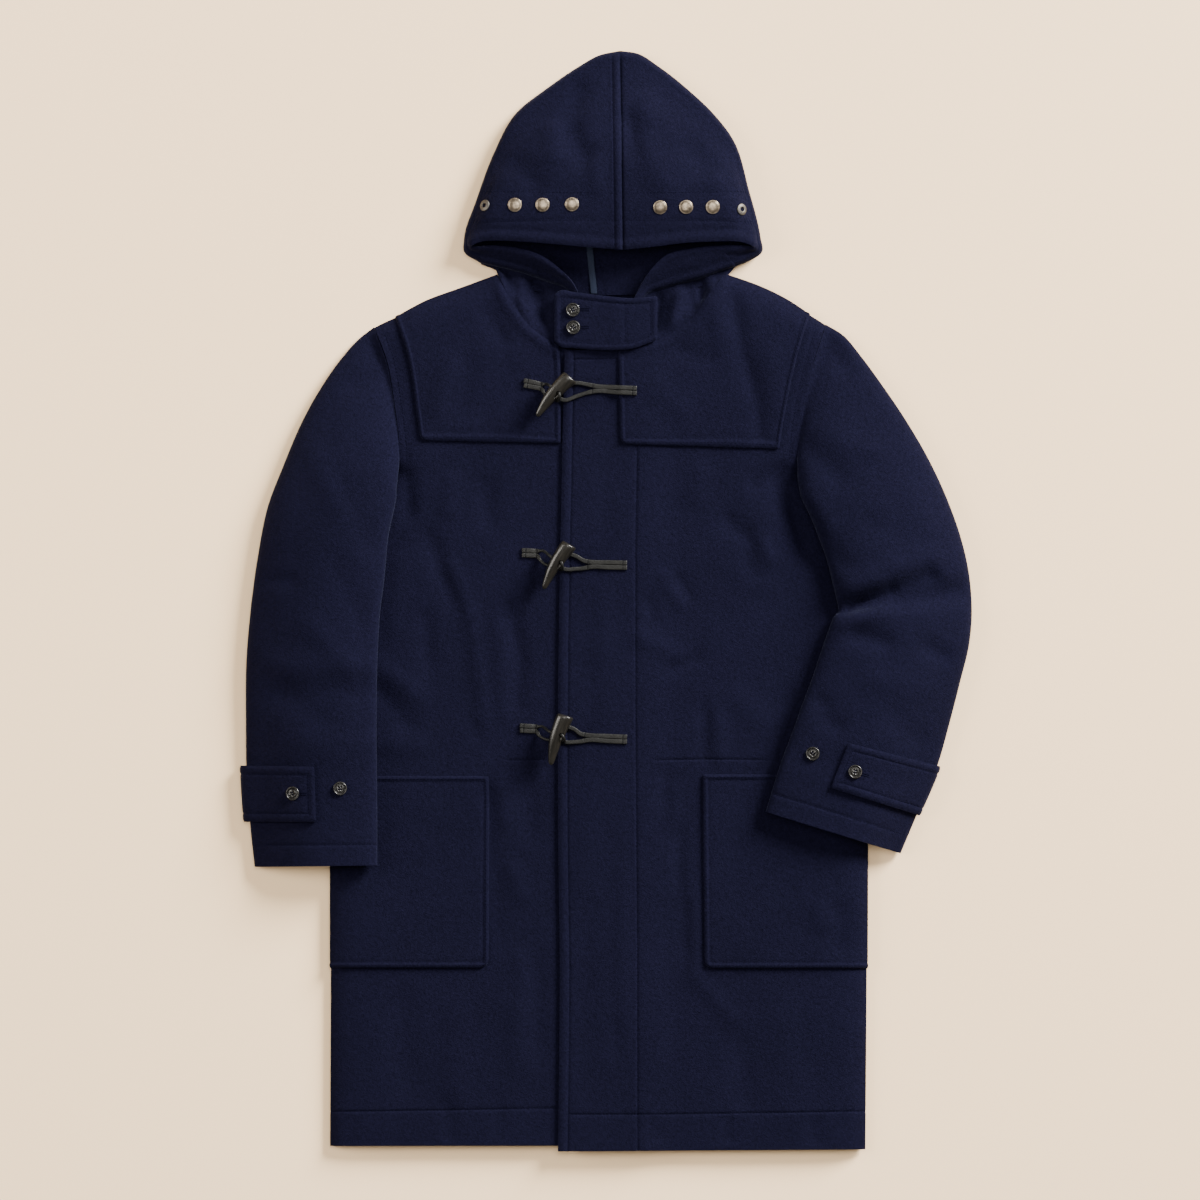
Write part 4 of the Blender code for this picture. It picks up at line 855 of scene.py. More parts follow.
sleeveRows = {              # outer x, y, inner x, y, crown, lift, follow
    "right": (
        (-266, 313, -240, 148, 0, 0, 1), (-283, 300, -241, 135.5, 5, 0, 0.8),
        (-303, 278, -242, 127, 9, 0, 0.6), (-327, 244, -242, 120, 12, 0, 0.5),
        (-349, 205, -243.5, 110, 14, 0, 0.3), (-371, 154, -247, 95, 16, 0, 0.1),
        (-389, 107, -252, 70, 16.5, 0, 0), (-399.5, 55, -255.5, 30, 16, 0, 0),
        (-409, -15, -261.5, -20, 15, 0, 0), (-413.5, -71, -264, -71, 14, 0.6, 0),
        (-414, -136, -265, -136, 12.5, 2.6, 0),
        (-413.5, -190, -264.5, -192, 11, 4.4, 0),
        (-409.5, -253.5, -264, -254, 10, 4.4, 0),
        (-404, -306, -264, -304, 9, 4.4, 0),
    ),
    "left": (
        (252, 316, 221, 148, 0, 0, 1), (272, 304, 222, 135.5, 5, 0, 0.8),
        (291, 282, 223.5, 127, 9, 0, 0.6), (317, 247, 225, 120, 12, 0, 0.5),
        (345, 206, 229.5, 110, 14, 0, 0.3), (373, 158, 237, 95, 16, 0, 0.1),
        (394, 112, 246, 72, 16.5, 0, 0), (410, 65, 257, 40, 16, 0, 0),
        (417, 33, 265, 6, 15.5, 0, 0), (419.5, 13, 268.6, -12, 9.5, 0, 0),
        (420.6, -9, 263, -19, 14.5, 0, 0), (418, -47, 250, -54, 15, 0, 0),
        (406.5, -96, 239, -87, 14, 0.6, 0), (395, -141, 227, -119, 13, 2.6, 0),
        (381, -190, 216.5, -148, 11.5, 4.4, 0),
        (357.7, -245.5, 199, -196, 10, 4.4, 0),
        (338.7, -290.6, 184.6, -243, 9, 4.4, 0),
    ),
}
sleeveCurve = {side: rowCurve(rows) for side, rows in sleeveRows.items()}
sleeveDown = {side: pathThrough(points[::-1]) for side, points in armholePoints.items()}

sleeveFolds = {             # in the plan of the coat, on the upper layer only
    "right": (
        (-300, 250, -256, 262, 10, -2.2), (-340, 196, -284, 96, 16, 1.7),
        (-404, 30, -352, 26, 8, -2.2), (-372, -96, -306, -132, 16, -2.4),
        (-338, -16, -281, -74, 13, 2.2), (-362, 130, -372, 0, 15, 1.5),
        (-312, 60, -272, -30, 11, -1.5), (-300, -168, -392, -180, 11, 1.1),
        (-300, 150, -262, 60, 12, -1.6), (-396, -60, -350, -70, 12, 1.2),
        (-276, 20, -276, -170, 7, -0.9),
    ),
    "left": (
        (270, -9, 300, 5, 8.5, -9.5), (300, 5, 338, 19, 10, -9.5),
        (338, 19, 386, 38, 12, -7), (274, -24, 330, -6, 8, 3.2),
        (286, -30, 334, -44, 12, -4.2), (366, -44, 402, -62, 11, -3.4),
        (330, 40, 392, 62, 12, 2.6), (276, 18, 326, 34, 11, 2.8),
        (232, 192, 284, 140, 15, -3.2), (238, 126, 262, 84, 11, 2.6),
        (256, 70, 278, 40, 10, -2.6), (258, 312, 280, 268, 9, -3.2),
        (268, 196, 326, 176, 14, 1.8), (352, 140, 396, 70, 14, 1.4),
        (300, -80, 386, -96, 14, 1.6), (238, -98, 257, -120, 9, -2.6),
        (255, -127, 278, -145, 10, -2.4), (330, -120, 376, -160, 13, -1.5),
        (300, 100, 352, 84, 15, -1.5),
    ),
}


# How far a point lies inside the body's side, below zero outside it
def insideBody(point, side):
    if point.y > sideRows[-1][0]:
        return -(point - Vector(armholePoints[side][0])).length
    sign = 1 if side == "right" else -1
    return sign * (point.x - sideX(point.y, side))


# Height of a sleeve's lower layer, on the surface or on the body
def lowerLayerZ(point, side, lift):
    inside = insideBody(point, side)
    if inside >= 0:
        return smoothBodyZ(point.x, point.y) + sleeve["over"] + lift
    reached = ease(1 + (inside + sleeve["clear"]) / sleeve["climb"])
    return mix(body["backZ"], body["edgeZ"] + sleeve["over"] + lift, reached)


def bulge(path, t):
    return path(t) - path(0).lerp(path(1), t)


# One section of a sleeve: outer fold, lower layer, inner fold, then back over the top
def sleeveRing(side, at):
    outerX, outerY, innerX, innerY, crown, lift, follow = sleeveCurve[side](at)
    sign = -1 if side == "right" else 1
    outer, inner = Vector((outerX, outerY)), Vector((innerX, innerY))
    outer += (inner - outer).normalized() * body["cloth"] / 2 * (1 - follow)
    width = (inner - outer).length
    seam = Vector((sign * sleeve["seam"], -0.3 * sleeve["seam"])) * follow
    steps = [i / 100 for i in range(100)]
    onBody = [t for t in steps if insideBody(outer.lerp(inner, t), side) > -sleeve["clear"]]
    edge = min([sleeve["mostFloor"]] + onBody[:1])
    grown = min(1, crown / sleeve["growth"])
    outerFold = mix(sleeve["shoulderFoldZ"], sleeve["foldZ"], grown)
    innerLayer = lowerLayerZ(inner, side, lift)
    innerFold = innerLayer + mix(sleeve["shoulderTurn"], sleeve["fullTurn"], grown)
    outerTurn = min(sleeve["foldRound"], (outerFold - body["backZ"]) ** 2 / sleeve["bend"]) / width
    innerTurn = min(sleeve["foldRound"], (innerFold - innerLayer) ** 2 / sleeve["bend"]) / width

    lower = [(outerTurn * (1 - math.cos(math.radians(a))), math.sin(math.radians(a)), 0)
             for a in sleeve["outerAngles"]]
    start = max(edge - sleeve["climb"] / width, 0.6 * edge)
    lower += [(t, 1, 0) for t in (0.55 * start, start, 0.5 * (start + edge), edge)]
    lower += [(mix(edge, 1 - innerTurn, t), 1, 0) for t in sleeve["acrossBody"]]
    lower += [(1 - innerTurn * (1 - math.cos(math.radians(a))), 0, math.sin(math.radians(a)))
              for a in sleeve["innerAngles"]]
    ring = []
    for t, outerDown, innerDown in lower:
        flat = outer.lerp(inner, t) + bulge(sleeveDown[side], t) * follow
        flat += seam * (1 + 1.5 * ease(t * 4 - 3))
        if innerDown > 0:
            z = mix(innerFold, innerLayer, innerDown)
        elif outerDown < 1:
            z = mix(outerFold, body["backZ"], outerDown)
        else:
            z = lowerLayerZ(flat, side, lift)
        ring.append(Vector((flat.x, flat.y, z)))

    high = 0.6 * (1 - edge)
    for step in range(sleeve["topSteps"] + 1):
        a = 0.5 - 0.5 * math.cos(math.pi * (step + 0.35) / (sleeve["topSteps"] + 0.7))
        flat = inner.lerp(outer, a) + bulge(armholePath[side], a) * follow
        flat += seam * (1 + 1.5 * (1 - ease(a / 0.25)))
        arch = (1 - abs(2 * a - 1) ** sleeve["power"]) ** (1 / sleeve["power"])
        down = max(0, (a - high) / (1 - high)) ** sleeve["hold"]
        z = mix(innerFold, outerFold, ease(down)) + crown * arch
        if follow > 0.9:
            onFront = max(smoothBodyZ(flat.x, flat.y), sleeve["headZ"])
            above = onFront + max(0, innerFold + sleeve["headRise"] - onFront) * (1 - ease(a / 0.14))
            z = mix(z, above, (follow - 0.9) / 0.1)
        ring.append(Vector((flat.x, flat.y, z)))
    return ring


# A smooth closed loop through the points of a ring
def smoothLoop(points, steps):
    count = len(points)
    result = []
    for i in range(count):
        p0, p1, p2, p3 = (points[(i + k - 1) % count] for k in range(4))
        d0, d1, d2 = (max(0.1, (b - a).length) for a, b in ((p0, p1), (p1, p2), (p2, p3)))
        m1 = ((p1 - p0) / d0 * d1 + (p2 - p1) / d1 * d0) / (d0 + d1) * d1
        m2 = ((p2 - p1) / d1 * d2 + (p3 - p2) / d2 * d1) / (d1 + d2) * d1
        fine = steps[i] if isinstance(steps, list) else steps
        for t in (step / fine for step in range(fine)):
            result.append((1 + 2 * t) * (1 - t) ** 2 * p1 + t * t * (3 - 2 * t) * p2
                          + t * (1 - t) ** 2 * m1 + t * t * (t - 1) * m2)
    return result


# Sections from the armhole to the cuff, with folds and the hem's trough on the upper layer
def makeSleeve(side):
    rows = sleeveRows[side]
    last = len(rows) - 1
    middle = sleeveRing(side, 0.6 * last)
    steps = [max(2, round((b - a).length / sleeve["cell"]))
             for a, b in zip(middle, middle[1:] + middle[:1])]
    run = [0]
    for a, b in zip(rows, rows[1:]):
        outerRun = math.hypot(b[0] - a[0], b[1] - a[1])
        innerRun = math.hypot(b[2] - a[2], b[3] - a[3])
        run.append(run[-1] + 0.5 * (outerRun + innerRun))
    stitched = int(sleeve["hem"][side])
    hem = mix(run[stitched], run[stitched + 1], sleeve["hem"][side] % 1)
    grid = []
    for distance in stations(0, run[-1], sleeve["cell"], (hem,), 1.6):
        i = min(bisect_right(run, distance), last) - 1
        at = i + (distance - run[i]) / (run[i + 1] - run[i])
        ring = smoothLoop(sleeveRing(side, at), steps)
        topStart = sum(steps[:sleeve["lowSteps"]])
        for k, point in enumerate(ring):
            fromOuter = (point.xy - ring[0].xy).length
            fromInner = (point.xy - ring[topStart].xy).length
            if k >= topStart:
                inside = ease(fromOuter / 26) * ease(fromInner / 16)
                nearHead = ease(distance / 30)
                fold = foldHeight(point.x, point.y, sleeveFolds[side])
                point.z += (fold * nearHead + 0.35 * uneven(point.x, point.y, 60, 7)
                            + 0.2 * uneven(point.x, point.y, 22, 9)) * inside
            middleZ = mix(ring[0].z, ring[topStart].z, 0.5)
            if k >= topStart and point.z > middleZ:
                point.z -= sleeve["hemTrough"] * bell(distance - hem, 1.8)
            point.z = max(point.z, body["backZ"] + 0.1)
        grid.append(ring)
    clothPiece("sleeve_" + side + "_cloth", grid, "sleeve_" + side, closed=True)


for side in bothSides:
    makeSleeve(side)
print("sleeves laid")


# Hood: two halves round the mouth, and the lower part of each that stands round the neck

hood = {"neckSeam": 0.1, "cornerSeam": -2, "chinLowest": 8.6, "onYoke": 1.8,
        "backLap": 8, "backZ": 4.9, "cell": 5, "roundTop": 8,
        "seam": (19.5, 16.2), "seamFrom": 403, "seamRun": 230, "seamGroove": 2.1, "seamStitch": 9.5,
        "flapRise": 1.5, "flapWidth": 13.5, "mouthRoll": 1.3, "chinRoll": 1,
        "bands": (437, 468), "bandBow": (-3, 3), "bandGroove": 0.9}
neckCentre = Vector((0, 400))
neckPoints = {
    "right": ((-121, 373), (-107.5, 341), (-88, 314), (-52, 291)),
    "left": ((136, 374.2), (118, 349), (98, 322), (66, 300.5), (39, 294), (15, 289)),
}
hoodRows = {                # mouth x, y, z, fold x, y, top z, bulge, low z, tuck, bow, neck place
    "right": (
        (19.2, 403, 33, 15.9, 632, 9.5, 13, 1.5, 8, -23, 0.00),
        (0, 404.5, 33.5, -8, 626.8, 10.3, 12.5, 1.5, 8, -19, 0.08),
        (-20, 406, 34, -30, 614.5, 11.5, 12, 1.5, 8, -15, 0.16),
        (-58.5, 409.5, 34, -66.5, 589.5, 13.5, 10.5, 1.5, 8, -6, 0.36),
        (-90, 412, 32.5, -103.5, 559.5, 15, 9, 1.5, 8, 0, 0.54),
        (-119.5, 413.5, 30, -127.7, 515, 16, 7, 1.5, 8, 2, 0.70),
        (-143, 412.5, 26, -148.4, 459.4, 16.5, 3, 1.5, 8, 5, 0.82),
        (-154.5, 406.5, 22, -162.6, 417, 16, 0.8, 1.5, 7, 10, 0.89),
        (-149.5, 406.8, 20.5, -163.4, 401.5, 15, 0.8, 1.5, 5, 9, 0.94),
        (-131, 408, 22, -145.5, 388.5, 15, 1, 1.5, 4, 7, 0.98),
    ),
    "left": (
        (19.8, 403, 33, 16.6, 632, 9.5, 13, 1.5, 8, -23, 0.00),
        (34, 404.5, 33.5, 37, 628.6, 10.3, 12.5, 1.5, 8, -19, 0.08),
        (50.5, 406, 34, 57.5, 615.8, 11.5, 12, 1.5, 8, -15, 0.16),
        (91, 411, 34, 96.5, 585, 13.5, 10.5, 1.5, 8, -6, 0.36),
        (119.5, 412.5, 32.5, 123, 559.5, 15, 9, 1.5, 8, 0, 0.56),
        (141, 413, 30, 145, 530.5, 16, 7, 1.5, 8, -2, 0.71),
        (157.5, 411.5, 26, 163.3, 472, 16.5, 3, 1.5, 8, -5, 0.82),
        (169, 406.5, 22, 177, 419, 16, 0.8, 1.5, 7, -10, 0.88),
        (167, 406.4, 20.5, 179.8, 401.5, 15, 0.8, 1.5, 5, -10, 0.91),
        (149, 408.2, 22, 163.5, 389.7, 15, 1, 1.5, 4.5, -5, 0.95),
        (130, 407.5, 23.5, 150, 384.5, 15.8, 1.2, 1.5, 4, -1, 0.98),
    ),
}
chinRows = {
    "right": (
        (-130.3, 408, 22, -144.6, 388.2, 15.5, 1, 7.6, -1, 7, 0.00),
        (-103, 405, 24, -117.5, 382.3, 16.5, 1.6, 7.8, -3, 3.5, 0.24),
        (-76, 397, 25, -91, 375.5, 17, 2, 8, -4, 0, 0.42),
        (-53, 381, 24, -64.5, 366, 17, 1.6, 8.4, -4, 0, 0.66),
        (-39, 366.5, 21, -47, 359.5, 16.5, 0.6, 9.6, -4, 0, 0.84),
        (-30, 350, 17, -37, 345, 15.6, 0, 11, -3, 0, 1.00),
    ),
    "left": (
        (129.3, 407.5, 23.5, 149, 384.2, 16.2, 1.2, 7.6, -1, 0, 0.00),
        (114, 406.4, 24.4, 131, 378.8, 16.6, 1.7, 7.8, -2, 0, 0.14),
        (96.5, 403.6, 25, 113, 372, 17, 2, 8, -4, 0, 0.34),
        (70, 397, 24.5, 88, 365.5, 17, 1.6, 8.4, -4, 0, 0.53),
        (51.5, 380, 22, 65, 359, 16.5, 0.6, 9.6, -4, 0, 0.70),
        (39, 360.5, 19, 47.5, 352.5, 16, 0, 11, -4, 0, 0.86),
        (30, 343, 17, 37, 338, 15.6, 0, 12, -3, 0, 0.98),
    ),
}
hoodCurve = {side: rowCurve([row[3:5] + row[:3] + row[5:] for row in rows])
             for side, rows in hoodRows.items()}
chinCurve = {side: rowCurve(rows) for side, rows in chinRows.items()}
neckPath = {side: pathThrough(points) for side, points in neckPoints.items()}
backNeckHalf = {
    "right": pathThrough(((0, 359), (-30, 359.5), (-80, 364), (-121, 373))),
    "left": pathThrough(((0, 359), (30, 359.5), (85, 365), (136, 374.2))),
}

# Soft hollows and swells of the hood's crown: from, to, half width and height
crownFolds = (
    (-20, 600, -36, 546, 13, -3.2), (-37, 548, -12, 508, 14, -4.8),
    (32, 566, 40, 514, 11, -3.6), (-102, 514, -68, 480, 13, -3.2),
    (-55, 554, -57, 510, 12, 2.6), (98, 538, 126, 500, 16, -2.6),
    (52, 592, 62, 558, 14, 1.8), (48, 532, 84, 470, 14, 2.2),
    (-8, 516, -6, 470, 9, 2), (-120, 500, -134, 440, 14, 1.4),
    (134, 496, 150, 440, 13, 1.6),
)
neckFolds = (
    (66, 356, 58, 304, 7.5, -5.4), (88, 362, 79, 308, 6.5, 4.4),
    (110, 372, 116, 346, 6, -4.8), (98, 366, 106, 330, 6, -2.4),
    (122, 376, 128, 352, 6, 2.2), (50, 340, 48, 300, 6, 2),
    (-76, 374, -65, 320, 9, -5.6), (-93, 376, -95, 326, 6.5, 3.4),
    (-108, 378, -118, 348, 6, -3.2), (-52, 352, -54, 306, 7, 1.8),
)


# Where the hood is sewn to the fronts, and to the back below
def frontNeck(side, share):
    point = neckPath[side](share)
    seam = mix(hood["cornerSeam"], hood["neckSeam"], ease(share * 3))
    height = smoothBodyZ(point.x, point.y)
    if side == "left":
        height += lapRise(point.x)
    point = point + (neckCentre - point).normalized() * seam
    onYoke = hood["onYoke"] * ease(((point.x < -55) * (-point.x - 55) + max(0, point.x - 17)) / 6)
    return Vector((point.x, point.y, max(hood["chinLowest"], height + onYoke)))


def backNeck(side, share):
    point = backNeckHalf[side](share)
    return Vector((point.x, point.y - hood["backLap"] * (1 - ease(share * 5 - 4)), hood["backZ"]))


# A line of the hood: from its mouth over the top, round the fold and under to the neck
def hoodPath(row, neck, tops, turns, lows):
    mouthX, mouthY, mouthZ, foldX, foldY, topZ, rise, lowZ, tuck, bow = row[:10]
    mouth, fold = Vector((mouthX, mouthY)), Vector((foldX, foldY))
    outward = (fold - mouth).normalized()
    fold -= outward * body["cloth"] / 2
    roundTop = min(hood["roundTop"], 0.45 * (fold - mouth).length)
    shoulder = fold - outward * roundTop
    path = []
    for t in tops:
        flat = mouth.lerp(shoulder, t)
        z = mix(mouthZ, topZ, t) + rise * math.sin(math.pi * min(1, t * 1.05))
        path.append(Vector((flat.x, flat.y, z)))
    for angle in turns:
        turn = math.radians(angle)
        flat = fold - outward * (roundTop if angle <= 90 else tuck) * (1 - math.sin(turn))
        path.append(Vector((flat.x, flat.y, mix(lowZ, topZ, 0.5 + 0.5 * math.cos(turn)))))
    start = path[-1]
    run = (neck.xy - start.xy).normalized()
    for t in lows:
        flat = start.xy.lerp(neck.xy, t) + Vector((-run.y, run.x)) * bow * math.sin(math.pi * t)
        path.append(Vector((flat.x, flat.y, mix(lowZ, neck.z, ease(t) ** 1.7))))
    return path


# Points along a smooth curve, with the given number of steps between each two
def openCurve(points, steps):
    curve = rowCurve([tuple(p) for p in points])
    places = [i + k / steps[i] for i in range(len(points) - 1) for k in range(steps[i])]
    return [Vector(curve(place)) for place in places + [len(points) - 1]]


controlTops = (0, 0.1, 0.28, 0.5, 0.72, 0.9)
controlTurns = (0, 45, 90, 135, 180)
controlLows = (0.25, 0.5, 0.75, 1)


# The hood's centre seam, and the two stitched lines of its band
def seamCentreX(y):
    return mix(*hood["seam"], min(1, max(0, (y - hood["seamFrom"]) / hood["seamRun"])))


def bandY(x, band):
    return hood["bands"][band] + hood["bandBow"][band] * math.sin((x - 20) / 160) ** 2


# Relief of the hood's top: hollows, rolled mouth, centre seam and band
def crownDetail(side, point, fromMouth, topShare):
    x, y = point.x, point.y
    rise = foldHeight(x, y, crownFolds) * ease(fromMouth / 40)
    rise += 0.3 * uneven(x, y, 55, 13) + 0.18 * uneven(x, y, 20, 17)
    rise += hood["mouthRoll"] * bell(fromMouth - 5, 4.5) - 0.5 * bell(fromMouth - 13, 3)
    flap = seamCentreX(y) - x
    rise -= hood["seamGroove"] * bell(flap, 2.2)
    if side == "right":                # the seam's allowance lies under this half
        rise += hood["flapRise"] * ease((flap - 1) / 3) * ease((hood["flapWidth"] - flap) / 3)
        rise -= 1.7 * bell(flap - hood["seamStitch"], 2.2)
    for band in (0, 1):
        rise -= hood["bandGroove"] * bell(y - bandY(x, band), 1.4)
    return rise * topShare


def makeHoodHalf(side):
    rows = hoodRows[side]
    control = [hoodPath(row, backNeck(side, row[10]), controlTops, controlTurns, controlLows)
               for row in rows]
    widest = control[1]
    steps = [max(2, round((b - a).length / hood["cell"])) for a, b in zip(widest, widest[1:])]
    steps[0], steps[1] = 7, 12
    count = sum(steps[:6])
    grid = []
    for at in stations(0, len(rows) - 1, 0.16, (0.3,), 0.03, 0.12, 0.4):
        values = hoodCurve[side](at)
        row = values[2:5] + values[:2] + values[5:]
        path = openCurve(hoodPath(row, backNeck(side, row[10]), controlTops, controlTurns, controlLows),
                         steps)
        mouth = path[0].copy()
        for k, point in enumerate(path):
            if at == 0:
                point.x += 0.4 if side == "right" else -0.4
            topShare = ease((count + 4 - k) / 6)
            if topShare > 0:
                point.z += crownDetail(side, point, (point.xy - mouth.xy).length, topShare)
            else:
                point.z += 0.25 * (1 + uneven(point.x, point.y, 40, 19)) * (k < len(path) - 4)
        grid.append(path)
    return grid + makeChin(side, steps)


# The hood's lower front, which goes on from the last line of its top
def makeChin(side, steps):
    rows = chinRows[side]
    upper = sum(steps[:7])
    grid = []
    for at in stations(0, len(rows) - 1, 0.12, (), 0.05, 0.1, 0.3)[1:]:
        row = chinCurve[side](at)
        path = openCurve(hoodPath(row, frontNeck(side, row[10]), controlTops, controlTurns, controlLows),
                         steps)
        mouth = path[0].copy()
        for k, point in enumerate(path):
            toNeck = 1 - k / (len(path) - 1)
            folds = foldHeight(point.x, point.y, neckFolds) * ease((k - upper * 0.7) / 8)
            roll = hood["chinRoll"] * bell((point.xy - mouth.xy).length - 4, 4) * (k < upper)
            point.z += roll + folds * ease(toNeck * 6) + 0.2 * uneven(point.x, point.y, 22, 23)
        grid.append(path)
    return grid


for side in bothSides:
    grid = makeHoodHalf(side)
    for path in grid:
        for point in path:
            point.z = max(point.z, body["backZ"] + 0.1)
    clothPiece("hood_" + side + "_cloth", grid, "hood_" + side)
    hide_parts("hood_chin_" + side)
print("hood laid")


# Binding inside the hood, throat tab and cuff straps

tape = {"width": 7, "thick": 1, "rounding": 0.3, "top": 560, "rise": 2.5, "aside": 8.7,
        "slant": 0.10, "slantFrom": 403, "straightens": 120, "rows": 60,
        "across": (-1, -0.8, -0.4, 0, 0.4, 0.8, 1)}
right, left = (hoodPath(hoodRows[side][0], backNeck(side, 0), controlTops, controlTurns, controlLows)
               for side in bothSides)
seamLine = [a.lerp(b, 0.5) for a, b in zip(right, left)][-5:]
seamLine = [Vector((p.x, min(p.y, tape["top"]), p.z)) for p in seamLine][::-1]
seamLine[0].y += 2
tapeCurve = rowCurve([tuple(p) for p in seamLine])
tapeRows = []
for i in range(tape["rows"] + 1):
    x, y, z = tapeCurve(i / tape["rows"] * (len(seamLine) - 1))
    up = y - tape["slantFrom"]
    x -= tape["aside"] * (1 - ease(up / tape["straightens"])) + max(0, -up) * tape["slant"]
    tapeRows.append([Vector((x + share * tape["width"] / 2, y,
                             z + tape["rise"] + 0.25 * math.cos(share * 1.6) + 0.15 * uneven(x, y, 14, 3)))
                     for share in tape["across"]])
clothPiece("hood_tape_cloth", tapeRows, "hood_tape", tape["thick"], tape["rounding"],
           look="slateTape")

tabRows = (                 # x, top y, low y, z
    (-59, 351, 298.5, 20.9), (-53, 355.3, 292.7, 21), (-38, 354, 290.5, 21.3),
    (-10, 350.5, 288.2, 22.6), (12, 348, 288, 24.3), (30, 346.8, 289.6, 24.6),
    (44, 347.8, 294, 24.6), (58.5, 349, 300, 24.4),
)
tab = {"thick": 3.6, "cell": 2.6, "rounding": 1.5, "trough": 0.75, "bead": 0.5, "edge": 0.7}
tabCurve = smoothRows([row[1:] for row in tabRows], [row[0] for row in tabRows])
tabStitches = [
    [(-52, 300.5), (-50.5, 347.8), (-38, 347.4), (-10, 344), (12, 341.6), (30, 340.6),
     (44, 341.6), (51.8, 342.6), (51.8, 305.4), (44, 300.4), (30, 296), (12, 294.4),
     (-10, 294.8), (-38, 297), (-52, 300.5)],
    [(22, 341), (22.4, 295.4)],
]


# The throat tab's surface, with its stitched trough and soft edge
def tabPoint(x, share):
    high, low, z = tabCurve(x)
    y = mix(high, low, share)
    for line in tabStitches:
        z -= tab["trough"] * bell(distanceTo(line, x, y), 1.6)
    fromEdge = min(x - tabRows[0][0], tabRows[-1][0] - x, abs(y - high), abs(y - low))
    z += tab["bead"] * bell(fromEdge - 3.2, 2.4) - tab["edge"] * bell(fromEdge, 1.4)
    return Vector((x, y, z + 0.3 * uneven(x, y, 24, 29)))


tabXs = stations(tabRows[0][0], tabRows[-1][0], tab["cell"], (), 1)
tabGrid = [[tabPoint(x, down / 60) for x in tabXs] for down in stations(0, 60, tab["cell"], (), 1)]
clothPiece("throat_tab_cloth", tabGrid, "throat_tab", tab["thick"], tab["rounding"])

strap = {"wide": 52, "thick": 3.6, "lift": 0.8, "inset": 7.5, "rounding": 1.5, "fine": 4, "cell": 3.2,
         "bead": 0.25, "groove": 0.7, "edge": 0.8, "standsOut": {"right": 3.4, "left": 0}, "easesIn": 16,
         "sections": {"right": (11, 12), "left": (14, 15)}, "reach": {"right": 0.525, "left": 0.62}}
strapLines = {}             # where the straps are stitched


# From under the sleeve, round its outer fold and over to the strap's end
def strapRows(side):
    low, high = strap["sections"][side]
    fine = strap["fine"]
    topStart = sleeve["lowSteps"] * fine
    rows = []
    for down in stations(0, strap["wide"], 3, (strap["inset"], strap["wide"] - strap["inset"]), 1):
        ring = smoothLoop(sleeveRing(side, mix(low, high, down / strap["wide"])), fine)
        top = ring[topStart:topStart + sleeve["topSteps"] * fine + 1][::-1]
        reach = strap["reach"][side] * (top[0].xy - top[-1].xy).length
        keep = [p for p in top if (p.xy - top[0].xy).length < reach - 0.6]
        after = top[len(keep)]
        t = (reach - (keep[-1].xy - top[0].xy).length) / max(0.1, (after.xy - keep[-1].xy).length)
        under = ring[1:fine + 1][::-1] + ring[:1] + ring[-3:][::-1]
        rows.append((under + keep + [keep[-1].lerp(after, t)], down))
    return rows


def makeStrap(side):
    collected = strapRows(side)
    paths = [pathThrough([tuple(p) for p in line], steps=3) for line, _ in collected]
    downs = [down for _, down in collected]
    shares = [s / 100 for s in stations(0, 100, strap["cell"], (), 1)]
    total = paths[0].length
    lifts = []
    for down in downs:
        row = []
        for share in shares:
            fromEdge = min(down, strap["wide"] - down, total - share * total)
            lift = (body["cloth"] + strap["thick"]) / 2 + strap["lift"]
            lift += strap["bead"] * bell(fromEdge - 3.6, 2.6) - strap["edge"] * bell(fromEdge, 1.4)
            row.append(lift - strap["groove"] * bell(fromEdge - strap["inset"], 1.3))
        lifts.append(row)
    grid = movedOut([[path(share) for share in shares] for path in paths], lifts)
    for row in grid:
        edge = min(point.x for point in row)
        for point in row:
            point.x -= strap["standsOut"][side] * ease(1 - (point.x - edge) / strap["easesIn"])
            point.z = max(point.z, strap["thick"] / 2 + 0.2)
    inner, outer = strap["inset"], strap["wide"] - strap["inset"]
    nearest = [min(range(len(downs)), key=lambda i: abs(downs[i] - at)) for at in (inner, outer)]
    strapLines[side] = [[tuple(p.xy) for p in grid[row] if p.z > 12][:-3] for row in nearest]
    column = min(range(len(shares)), key=lambda i: abs(total - shares[i] * total - strap["inset"]))
    strapLines[side].append([tuple(row[column].xy) for row, down in zip(grid, downs)
                             if inner <= down <= outer])
    name = "cuff_strap_" + side
    clothPiece(name + "_cloth", grid, name, strap["thick"], strap["rounding"])


for side in bothSides:
    makeStrap(side)
print("tab and cuff straps laid")


# Seating: pieces made from here on land on the finished cloth

bpy.context.view_layer.update()
graph = bpy.context.evaluated_depsgraph_get()
trees = {}


# The finished cloth as a tree that rays can meet
def surfaceOf(name):
    if name not in trees:
        shape = made[name].evaluated_get(graph).to_mesh()
        work = bmesh.new()
        work.from_mesh(shape)
        trees[name] = BVHTree.FromBMesh(work)
        work.free()
    return trees[name]


# Highest point of the named cloths at a place, with its normal
def seatOn(names, x, y):
    best = None
    for name in names:
        found, normal, _, _ = surfaceOf(name).ray_cast(Vector((x * mm, y * mm, 1)), Vector((0, 0, -1)))
        if found and (best is None or found.z > best[0].z):
            best = (found, normal if normal.z > 0 else -normal)
    if best is None:
        return None
    return best[0] / mm, best[1]


def hardPiece(name, mesh, material, node=None):
    piece = place(name, mesh, material)
    mesh.shade_smooth()
    if node:
        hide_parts(node)
    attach(piece, "root")
    return piece


# Buttons and snaps, turned from a half profile

